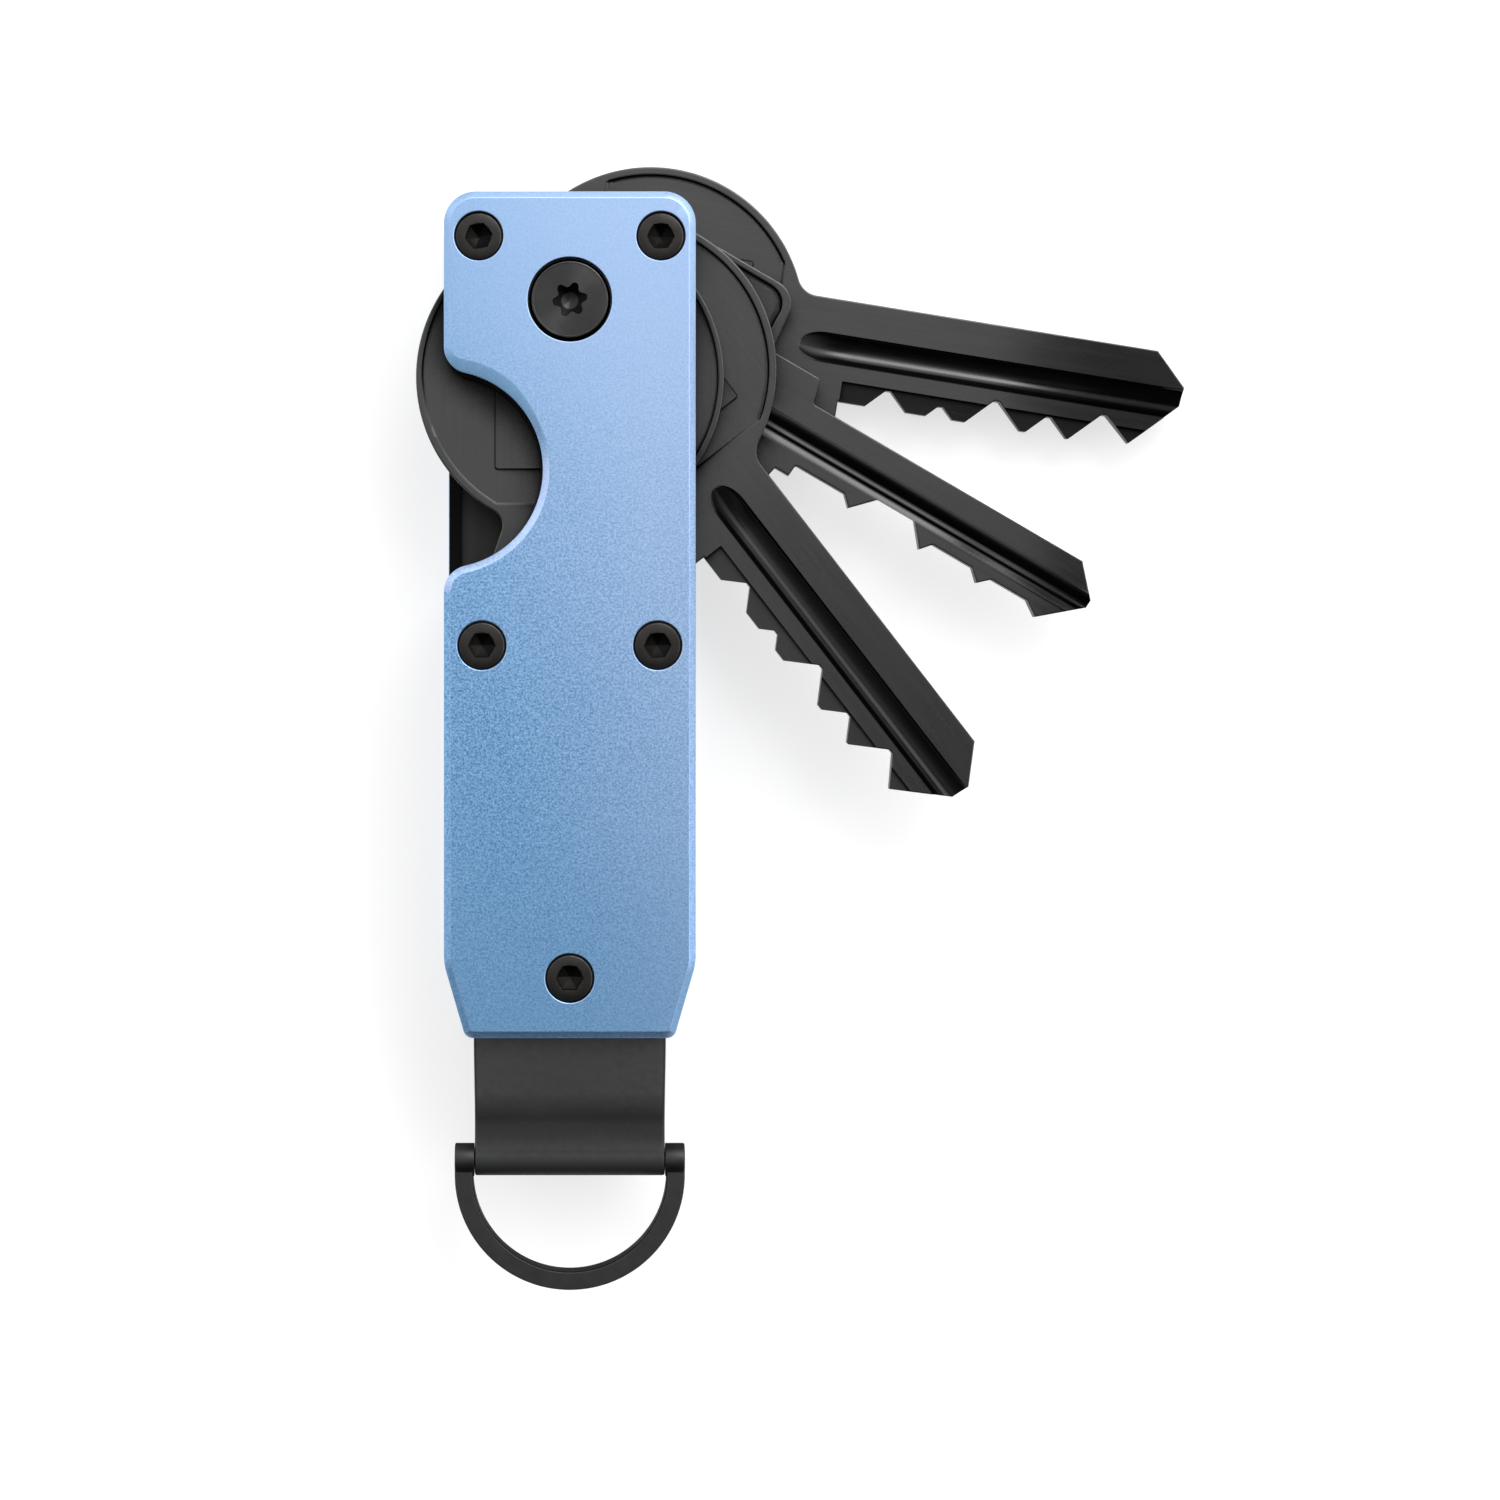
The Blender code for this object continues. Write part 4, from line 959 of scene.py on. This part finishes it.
def strap_path():
    """The front half of the strap's middle line as (y, z) about the ring bar's height, down to the loop's lowest point."""
    reach = BAY_CEILING_Z - 0.1 - STRAP_T / 2 - RING_AXIS_Z
    loop_r = RING_BAR_R + 0.1 + STRAP_T / 2
    pinch = STRAP_T / 2 + 0.06

    def bezier(a, b, c, d, n):
        out = []
        for i in range(1, n + 1):
            t = i / n
            w = ((1 - t) ** 3, 3 * t * (1 - t) ** 2, 3 * t * t * (1 - t), t**3)
            out.append(tuple(sum(k * p[j] for k, p in zip(w, (a, b, c, d))) for j in (0, 1)))
        return out

    start, knee = (STRAP_EXIT_Y, reach), (STRAP_PINCH_Y, pinch)
    meet = math.radians(50)
    touch = (RING_AXIS_Y + loop_r * math.cos(meet), loop_r * math.sin(meet))
    along = Vector((-math.sin(meet), math.cos(meet)))
    line = [(STRAP_TOP_Y + (STRAP_EXIT_Y - STRAP_TOP_Y) * i / 16, reach) for i in range(17)]
    line += bezier(start, (STRAP_EXIT_Y - 2.6, reach), (STRAP_PINCH_Y + 2.7, pinch + 0.7), knee, 36)
    line += bezier(
        knee,
        (STRAP_PINCH_Y - 1.2, pinch - 0.02),
        (touch[0] - along.x * 1.0, touch[1] - along.y * 1.0),
        touch,
        20,
    )
    for i in range(1, 19):
        t = meet + (math.pi - meet) * i / 18
        line.append((RING_AXIS_Y + loop_r * math.cos(t), loop_r * math.sin(t)))
    line[-1] = (RING_AXIS_Y - loop_r, 0.0)
    for _ in range(12):  # the leather bends gently where the two layers meet
        eased = [0.25 * line[i - 1][1] + 0.5 * line[i][1] + 0.25 * line[i + 1][1] for i in range(20, 70)]
        line[20:70] = [(line[i][0], z) for i, z in zip(range(20, 70), eased)]
    return line


half = strap_path()
whole = half + [(y, -z) for y, z in reversed(half[:-1])]
corner = 0.2
section = []  # (across, out) round the strap's cross-section, out towards the strap's outer face
side = STRAP_W / 2
rows_across = 28
for i in range(rows_across + 1):
    section.append((-side + corner + (2 * side - 2 * corner) * i / rows_across, STRAP_T / 2))
section += [(x, z) for x, z in arc(side - corner, STRAP_T / 2 - corner, corner, 90, 0, 4)[1:]]
section += [(x, z) for x, z in arc(side - corner, -STRAP_T / 2 + corner, corner, 0, -90, 4)]
for i in range(1, rows_across + 1):
    section.append((side - corner - (2 * side - 2 * corner) * i / rows_across, -STRAP_T / 2))
section += [(x, z) for x, z in arc(-side + corner, -STRAP_T / 2 + corner, corner, -90, -180, 4)[1:]]
section += [(x, z) for x, z in arc(-side + corner, STRAP_T / 2 - corner, corner, 180, 90, 4)[:-1]]
loops = []
for i, (y, z) in enumerate(whole):
    before, after = Vector(whole[max(i - 1, 0)]), Vector(whole[min(i + 1, len(whole) - 1)])
    along = (after - before).normalized()
    out = Vector((along.y, -along.x)) * -1.0
    free = smooth01((STRAP_EXIT_Y - 0.3 - y) / 3.0) * smooth01((y + 51.2) / 1.5)
    loop = []
    for across, lift in section:
        wave = noise.noise(Vector((across * 0.16, y * 0.3, 4.0 if z > 0 else 9.0))) * 0.05 * free
        edge_droop = -0.035 * free * abs(across / side) ** 6
        d = lift + wave + edge_droop
        loop.append((across, y + out.x * d, RING_AXIS_Z + z + out.y * d))
    loops.append(loop)
strap = skin(loops)
strap = combine(strap, [revolve(post_hole, 48, 0.0, -34.3)])
add("strap_piece", strap, LEATHER, "case", smooth=40, edge=0.0)


# ---------------------------------------------------------------- D-ring

mid_r = (RING_INNER_R + RING_OUTER_R) / 2
wide = RING_OUTER_R - RING_INNER_R
path = [(mid_r, 0.0)] + arc(0, -RING_DROP, mid_r, 0, -180, 96) + [(-mid_r, 0.0)]
path = [(mid_r, -0.0)] + [(mid_r, -RING_DROP * i / 4) for i in range(1, 4)] + path[1:-1] + [(-mid_r, -RING_DROP * i / 4) for i in (3, 2, 1)] + [(-mid_r, 0.0)]
section = rounded(
    [(-wide / 2, -RING_BOW_T / 2, 0.15), (wide / 2, -RING_BOW_T / 2, 0.13), (wide / 2, RING_BOW_T / 2, 0.13), (-wide / 2, RING_BOW_T / 2, 0.15)], 4
)
loops = []
for i, (x, y) in enumerate(path):
    before, after = Vector(path[max(i - 1, 0)]), Vector(path[min(i + 1, len(path) - 1)])
    along = (after - before).normalized() if i not in (0, len(path) - 1) else Vector((0, -1 if i == 0 else 1))
    out = Vector((-along.y, along.x))
    loops.append([(x + out.x * a, y + out.y * a, b) for a, b in section])
bow = skin(loops)
ears = []
for x in (-mid_r, mid_r):
    c = 0.16
    ear = [(0.0, wide / 2)] + [(RING_EAR_R - a, wide / 2 - b) for a, b in reversed(rim(c, 3))]
    inner = -wide / 2 - 0.11
    ear += [(RING_EAR_R - a * 0.35, inner + b * 0.35) for a, b in rim(c, 3)] + [(0.0, inner)]
    ear = lay_down(revolve(ear, 56))
    if x < 0:
        bmesh.ops.rotate(ear, cent=(0, 0, 0), matrix=Matrix.Rotation(math.pi, 3, "Z"), verts=ear.verts)
    ears.append(shift(ear, (x, 0, 0)))
bow = combine(bow, ears, "UNION")
bar_hole = lay_down(revolve([(0, 14), (RING_BAR_R + 0.05, 14), (RING_BAR_R + 0.05, -14), (0, -14)], 40))
bow = combine(bow, [bar_hole])
def ring_painted_shade(centre, normal):
    """How much painted shade the ring gets: its inner side and the ears, darkened to dull their reflections."""
    if centre.y > -0.9:
        return 0.38
    inward = Vector((-centre.x, -RING_DROP - centre.y)).normalized()
    return 0.9 if normal.x * inward.x + normal.y * inward.y > 0.3 else 0.0


add(
    "ring_bow_piece",
    bow,
    RING,
    "d_ring",
    where=(0, RING_AXIS_Y, RING_AXIS_Z),
    smooth=35,
    edge=0.12,
    painted_light=ring_painted_shade,
)
end = RING_OUTER_R - 0.1
bar = [(0.0, end)] + [(RING_BAR_R - a, end - b) for a, b in reversed(rim(0.2, 3))]
bar += [(RING_BAR_R - a, -end + b) for a, b in rim(0.2, 3)] + [(0.0, -end)]
add("ring_bar_piece", lay_down(revolve(bar, 40)), RING, "d_ring", where=(0, RING_AXIS_Y, RING_AXIS_Z))


# ---------------------------------------------------------------- keys


def groove_tool(profile, start, run, end, face, s):
    """A milled groove along x: its cross-section (y, depth) swells from a rounded start over the run, then goes on to the end."""
    ys = [p[0] for p in profile]
    middle = sum((min(ys), max(ys))) / 2
    half_w = (max(ys) - min(ys)) / 2
    long_run = run * 2.2
    stations = [start + long_run * (1 - math.cos(math.pi / 2 * i / 24)) for i in range(1, 25)]
    stations += [start + long_run + (end - start - long_run) * i / 6 for i in range(1, 7)]
    loops = []
    for x in stations:
        t = min((x - start) / run, 1.0)
        width = math.sqrt(max(1 - (1 - t) ** 2, 0.0))
        depth = math.sin(math.pi / 2 * min((x - start) / long_run, 1.0))
        loop = [(x, middle + (y - middle) * width, face - s * d * depth) for y, d in profile]
        reach = half_w * width
        loop += [(x, middle - reach - 0.02, face + s * 0.8), (x, middle + reach + 0.02, face + s * 0.8)]
        loops.append(loop)
    return skin(loops)


ROUND_GROOVE = (
    (1.80, 0.0),
    (1.74, 0.19),
    (1.62, 0.33),
    (1.45, 0.44),
    (1.25, 0.52),
    (1.05, 0.59),
    (0.85, 0.65),
    (0.65, 0.705),
    (0.45, 0.75),
    (0.30, 0.775),
    (0.20, 0.785),
    (0.12, 0.785),
    (0.02, 0.77),
    (-0.10, 0.745),
    (-0.30, 0.70),
    (-0.40, 0.684),
    (-0.48, 0.674),
    (-0.54, 0.672),
    (-0.61, 0.68),
    (-0.70, 0.70),
    (-0.80, 0.735),
    (-0.90, 0.78),
    (-1.00, 0.825),
    (-1.07, 0.84),
    (-1.14, 0.70),
    (-1.18, 0.35),
    (-1.20, 0.0),
)
SQUARE_GROOVE = (
    (1.53, 0.0),
    (1.51, 0.012),
    (1.40, 0.022),
    (1.30, 0.036),
    (1.20, 0.056),
    (1.10, 0.082),
    (1.00, 0.112),
    (0.90, 0.147),
    (0.80, 0.188),
    (0.70, 0.232),
    (0.60, 0.277),
    (0.50, 0.322),
    (0.42, 0.357),
    (0.34, 0.388),
    (0.27, 0.405),
    (0.21, 0.41),
    (0.15, 0.405),
    (0.08, 0.392),
    (0.00, 0.375),
    (-0.08, 0.358),
    (-0.14, 0.353),
    (-0.20, 0.362),
    (-0.27, 0.39),
    (-0.35, 0.435),
    (-0.42, 0.468),
    (-0.48, 0.475),
    (-0.54, 0.468),
    (-0.61, 0.452),
    (-0.70, 0.43),
    (-0.80, 0.405),
    (-0.90, 0.381),
    (-1.00, 0.358),
    (-1.10, 0.338),
    (-1.20, 0.323),
    (-1.28, 0.316),
    (-1.30, 0.25),
    (-1.31, 0.0),
)


def flowing(points, step=0.06):
    """A smooth run of close points through the given ones."""
    out = []
    for i in range(len(points) - 1):
        a, b = Vector(points[max(i - 1, 0)]), Vector(points[i])
        c, d = Vector(points[i + 1]), Vector(points[min(i + 2, len(points) - 1)])
        n = max(1, round((c - b).length / step))
        for k in range(n):
            t = k / n
            out.append(tuple(0.5 * (2 * b + (c - a) * t + (2 * a - 5 * b + 4 * c - d) * t * t + (3 * b - a - 3 * c + d) * t**3)))
    return out + [tuple(points[-1])]


def struck(field, turn, gentle):
    """The gentle slope's share, raised on the side of the field that the die pressed softly, at a turn in degrees."""
    out, n = [], len(field)
    for i, share in enumerate(gentle):
        along = Vector(field[(i + 1) % n]) - Vector(field[i - 1])
        a = math.atan2(along.x, -along.y) + math.radians(turn)
        out.append(max(share, smooth01((0.35 * math.cos(a) + 0.94 * math.sin(a) + 0.12) / 0.85)))
    return out


def bow_field(kind, size, by, rim_w, near, far):
    """The sunk field of a bow as (outline, share of gentle slope at each point), and the raised panel in it."""
    if kind == "round":
        cx, cy, r = BOW_X * size + by[0], BOW_Y * size + by[1], (BOW_R - rim_w) * size
        near, far = near * size, far * size
        a, b = math.degrees(math.acos(near / r)), math.degrees(math.acos(-far / r))
        field = tidy(arc(cx, cy, r, a, b, 60) + arc(cx, cy, r, 360 - b, 360 - a, 60))
        gentle = [smooth01((max(x - cx - near, cx - far - x) + 0.12) / 0.1) for x, y in field]
        w = 7.2 * size
        panel = rounded(
            [(cx - 4.6 * size, cy - w, 0.2), (cx + 8.9 * size, cy - w, 0.2), (cx + 8.9 * size, cy + w, 0.2), (cx - 4.6 * size, cy + w, 0.2)], 3
        )
        return field, gentle, tidy(panel)
    e = 0.60
    field = rounded(
        [
            (SQ_FRONT_X - 0.5 - e, SQ_AXIS_Y + SQ_HALF_W - e, SQ_FRONT_R - e * 0.6),
            (SQ_BACK_X + e, SQ_AXIS_Y + SQ_HALF_W - e, SQ_BACK_R - e),
            (SQ_BACK_X + e, SQ_AXIS_Y - SQ_HALF_W + e, SQ_BACK_R - e),
            (SQ_FRONT_X - 0.5 - e, SQ_AXIS_Y - SQ_HALF_W + e, SQ_FRONT_R - e * 0.6),
        ],
        10,
    )
    field = tidy(field)
    panel = rounded([(3.6, -6.4, 0.5), (14.4, -6.4, 0.5), (14.4, 6.9, 0.5), (3.6, 6.9, 0.5)], 4)
    return field, [0.0] * len(field), tidy(panel)


def field_tool(field, gentle, face, s, sink, moat):
    """Cuts a sunk field: a steep wall with a small moat at its foot, or a gentle slope where it is asked for."""

    def ring(steep_w, gentle_w, steep_d, gentle_d):
        widths = [steep_w + (gentle_w - steep_w) * g for g in gentle]
        depths = [steep_d + (gentle_d - steep_d) * g for g in gentle]
        return [(x, y, face - s * d) for (x, y), d in zip(inset(field, widths), depths)]

    return skin(
        [
            ring(0.34 * moat + 0.20, 0.42, sink, sink),
            ring(0.20 * moat, 0.32, sink + 0.09 * moat, sink),
            ring(0.12, 0.30, sink + 0.11 * moat, sink),
            ring(0.02, 0.02, 0.025, 0.0),
            ring(-0.08, -0.03, 0.006, -0.04),
            ring(-0.10, -0.05, -0.04, -0.06),
            ring(-0.10, -0.05, -0.4, -0.4),
        ]
    )


def key_rims(outline, kind, size, by):
    """The edges of a key: crowned round the bow, only just broken along the blade."""
    end = (BOW_X + 12.5) * size + by[0] if kind == "round" else SQ_FRONT_X + 1.2
    share = [smooth01((end - x) / 2.6) for x, _ in outline]
    steps = []
    for thin, wide, thin_drop, wide_drop in (
        (0.0, 0.0, 0.12, 0.14),
        (0.012, 0.014, 0.07, 0.08),
        (0.04, 0.045, 0.03, 0.035),
        (0.08, 0.09, 0.008, 0.012),
        (0.13, 0.16, 0.0, 0.003),
        (0.18, 0.24, 0.0, 0.0),
    ):
        steps.append((thin, wide, thin_drop, wide_drop))
    top, low = [], []
    for thin, wide, thin_drop, wide_drop in steps:
        inner = inset(outline, [thin + (wide - thin) * h for h in share])
        drops = [thin_drop + (wide_drop - thin_drop) * h for h in share]
        top.append([(x, y, KEY_T - d) for (x, y), d in zip(inner, drops)])
        low.append([(x, y, d) for (x, y), d in zip(inner, drops)])
    return skin(low[::-1] + top)


for n, (name, body, kind, size, by, swing) in enumerate(KEYS):
    rim_w, near, far = (0.5, 12.55, 11.5) if n == 0 else (0.68, 12.2, 6.5)
    moat = (0.45, 0.88, 1.65, 1.15)[n]
    z = BAY_FLOOR_Z + 0.2 + WASHER_T + (3 - n) * STACK_PITCH
    outline = round_key_outline(size) if kind == "round" else square_key_outline(size)
    outline = tidy([(x + by[0], y + by[1]) for x, y in outline])
    key = key_rims(outline, kind, size, by)
    tools = []
    sink = 0.18
    for face, s in ((KEY_T, 1.0), (0.0, -1.0)):
        field, gentle, panel = bow_field(kind, size, by, rim_w, near, far)
        gentle = struck(field, swing - 90, gentle)
        raised = skin(
            [
                [(x, y, face - s * (sink + 0.3)) for x, y in inset(panel, -(sink + 0.3) * 0.9)],
                [(x, y, face + s * 0.02) for x, y in inset(panel, 0.02 * 0.9)],
                [(x, y, face + s * 0.6) for x, y in inset(panel, 0.02 * 0.9)],
            ]
        )
        tools.append(combine(field_tool(field, gentle, face, s, sink, moat), [raised]))
        if kind == "round":
            line = [((y - 0.35 + GROOVE_Y) * size + by[1], d) for y, d in flowing(ROUND_GROOVE)]
            start = GROOVE_X * size + by[0]
        else:
            line, start = flowing(SQUARE_GROOVE), SQ_FRONT_X - 0.4
        if s < 0:
            middle = (line[0][0] + line[-1][0]) / 2
            line = [(2 * middle - y, d * 0.85) for y, d in line]
        tools.append(groove_tool(line, start, 2.6, 66.0, face, s))
    groove_span = (min(y for y, _ in line), max(y for y, _ in line))
    if kind == "round":
        edge, at = WARD_Y * size + by[1], (SHOULDER_X + 0.1) * size + by[0]
        deep = KEY_T - (0.65 if n == 1 else 1.2)
        ward = skin(
            [
                [(at, edge - 4, deep), (70, edge - 4, deep), (70, edge, KEY_T - 0.2), (at, edge, KEY_T - 0.2)],
                [(at, edge - 4, KEY_T + 1.0), (70, edge - 4, KEY_T + 1.0), (70, edge + 0.12, KEY_T + 1.0), (at, edge + 0.12, KEY_T + 1.0)],
            ]
        )
        tools.append(ward)
    bore = [(0, KEY_T + 0.3), (BORE_R + 0.42, KEY_T + 0.3), (BORE_R + 0.12, KEY_T), (BORE_R, KEY_T - 0.12), (BORE_R, 0.12), (BORE_R + 0.12, 0), (BORE_R + 0.42, -0.3), (0, -0.3)]
    tools.append(revolve(bore, 72))
    key = combine(key, tools)

    def in_groove(centre, normal):
        inside = groove_span[0] - 0.02 < centre.y < groove_span[1] + 0.02 and centre.x > start - 0.1
        return inside and 0.03 < centre.z < KEY_T - 0.03 and abs(normal.z) > 0.15

    add(
        name + "_piece",
        key,
        KEY,
        body,
        where=(0, PIVOT_Y, z),
        turn=swing - 90,
        edge=0.1,
        smooth=34,
        polish=in_groove,
    )


# ---------------------------------------------------------------- floor, light, camera

floor = bpy.data.meshes.new("floor")
bm = bmesh.new()
bmesh.ops.create_grid(bm, x_segments=2, y_segments=2, size=2.0)
bm.to_mesh(floor)
bm.free()
floor = bpy.data.objects.new("floor", floor)
bpy.context.scene.collection.objects.link(floor)
floor.location.z = -0.00002
f = Finish("floor_paper")
f.where = f.node("ShaderNodeTexCoord").outputs["Object"]
tone = f.mix(f.span(f.noise(30, 2.0), 0.3, 0.7), (0.42, 0.42, 0.42, 1), (0.44, 0.44, 0.44, 1))
floor.data.materials.append(
    f.set(Base_Color=tone, Roughness=0.9, Specular_IOR_Level=0.1, Emission_Color=(1, 1, 1, 1), Emission_Strength=0.66)
)

world = bpy.data.worlds.new("studio")
bpy.context.scene.world = world
world.use_nodes = True
tree = world.node_tree
way = tree.nodes.new("ShaderNodeSeparateXYZ")
tree.links.new(tree.nodes.new("ShaderNodeTexCoord").outputs["Generated"], way.inputs[0])


def math_node(kind, *values, clamp=False):
    made = tree.nodes.new("ShaderNodeMath")
    made.operation, made.use_clamp = kind, clamp
    for i, v in enumerate(values):
        if isinstance(v, bpy.types.NodeSocket):
            tree.links.new(v, made.inputs[i])
        else:
            made.inputs[i].default_value = v
    return made.outputs[0]


def ramp(value, low, high, out_low, out_high):
    made = tree.nodes.new("ShaderNodeMapRange")
    made.interpolation_type = "SMOOTHSTEP"
    tree.links.new(value, made.inputs["Value"])
    for key, v in (("From Min", low), ("From Max", high), ("To Min", out_low), ("To Max", out_high)):
        made.inputs[key].default_value = v
    return made.outputs["Result"]


x, y, z = way.outputs["X"], way.outputs["Y"], way.outputs["Z"]


def product(*values):
    out = values[0]
    for v in values[1:]:
        out = math_node("MULTIPLY", out, v)
    return out


slant = math_node("SUBTRACT", x, math_node("MULTIPLY", y, 0.4))
low_down = ramp(z, 0.15, 0.55, 0.32, 1.0)
overhead = product(
    ramp(slant, 0.06, 0.24, 1.0, 0.12),
    ramp(x, -0.50, -0.15, 0.35, 1.0),
    ramp(y, -0.50, 0.30, 0.0, 1.46),
    ramp(y, 0.45, 0.80, 1.0, 0.5),
    ramp(z, 0.1, 0.6, 0.0, 1.0),
)
from_top = product(ramp(y, 0.45, 0.9, 0.0, 0.8), low_down)
from_right = product(ramp(x, 0.28, 0.70, 0.0, 1.3), ramp(y, -0.75, -0.1, 0.2, 1.0), low_down)
from_left = product(ramp(x, -0.80, -0.40, 1.0, 0.0), ramp(y, -0.45, -0.05, 0.1, 1.0))
from_upper_left = product(ramp(x, -0.35, -0.15, 0.45, 0.0), ramp(y, 0.2, 0.5, 0.0, 1.0))
corner_way = math_node("ADD", math_node("MULTIPLY", x, 0.72), math_node("MULTIPLY", y, 0.69))
from_corner = product(ramp(corner_way, 0.30, 0.62, 0.0, 1.3), ramp(z, 0.1, 0.5, 0.25, 1.0))
level = math_node("ADD", overhead, from_top)
level = math_node("ADD", level, from_corner)
level = math_node("ADD", level, from_right)
level = math_node("ADD", level, from_left)
level = math_node("ADD", level, from_upper_left)
level = math_node("ADD", level, ramp(y, -0.55, -0.10, 0.012, 0.07))
tree.links.new(level, tree.nodes["Background"].inputs["Strength"])
tree.nodes["Background"].inputs["Color"].default_value = (0.985, 0.99, 1.0, 1)


def softbox(name, at, towards, wide, high, radiance):
    lamp = bpy.data.lights.new(name, "AREA")
    lamp.shape = "RECTANGLE"
    lamp.size, lamp.size_y = wide, high
    lamp.energy = radiance * math.pi * wide * high
    obj = bpy.data.objects.new(name, lamp)
    bpy.context.scene.collection.objects.link(obj)
    obj.location = at
    obj.rotation_euler = (Vector(towards) - Vector(at)).to_track_quat("-Z", "Y").to_euler()
    obj.visible_camera = False
    return obj


softbox("key_light", (0.22, 0.42, 0.5), (0, 0, 0), 0.30, 0.30, 4.5)

# Dark cards over the bare ends of the open keys, which mirror them; the one over the long key is a louvre that closes
# towards its tip
f = Finish("flag_cloth")
f.where = f.node("ShaderNodeTexCoord").outputs["Object"]
weave = f.mix(f.span(f.noise(400, 2.0), 0.3, 0.7), grey(0.008), grey(0.012))
CLOTH = f.set(Base_Color=weave, Roughness=0.9, Specular_IOR_Level=0.1)
start, end, slats = Vector((0.0190, 0.0130)), Vector((0.0440, -0.0255)), 30
along = (end - start).normalized()
across = Vector((-along.y, along.x)) * 0.0068
louvre = []
for i in range(slats):
    middle, half = start + (end - start) * i / slats, along * (0.00016 + 0.00034 * i / slats)
    louvre.append([middle - across - half, middle + across - half, middle + across + half, middle - across + half])
for name, outlines in (
    ("flag_back", [((0.0465, 0.0165), (0.0515, 0.0165), (0.0535, 0.0100), (0.076, 0.0100), (0.076, 0.046), (0.0575, 0.046), (0.0465, 0.0300))]),
    ("flag_third", [((0.0475, -0.006), (0.064, -0.006), (0.064, 0.0085), (0.0475, 0.0085))]),
    ("flag_second", louvre),
):
    card = bpy.data.meshes.new(name)
    bm = bmesh.new()
    for outline in outlines:
        bm.faces.new([bm.verts.new((*p, 0)) for p in outline])
    bm.to_mesh(card)
    bm.free()
    card.materials.append(CLOTH)
    card = bpy.data.objects.new(name, card)
    bpy.context.scene.collection.objects.link(card)
    card.location.z = 0.03
    card.visible_camera = card.visible_diffuse = card.visible_shadow = False

camera = bpy.data.cameras.new("camera")
camera.sensor_width = 36.0
camera.lens = 10.6 * 324 * 36 / 1500
camera.shift_x = (750 - 569.8) / 1500
camera.shift_y = -(750 - 614.75) / 1500
camera.clip_start = 0.01
viewer = bpy.data.objects.new("camera", camera)
bpy.context.scene.collection.objects.link(viewer)
viewer.location = (0, 0, 0.33945)
bpy.context.scene.camera = viewer

scene = bpy.context.scene
scene.view_settings.view_transform = "Standard"
scene.view_settings.look = "None"
scene.view_settings.exposure = 0.0
scene.view_settings.gamma = 1.0
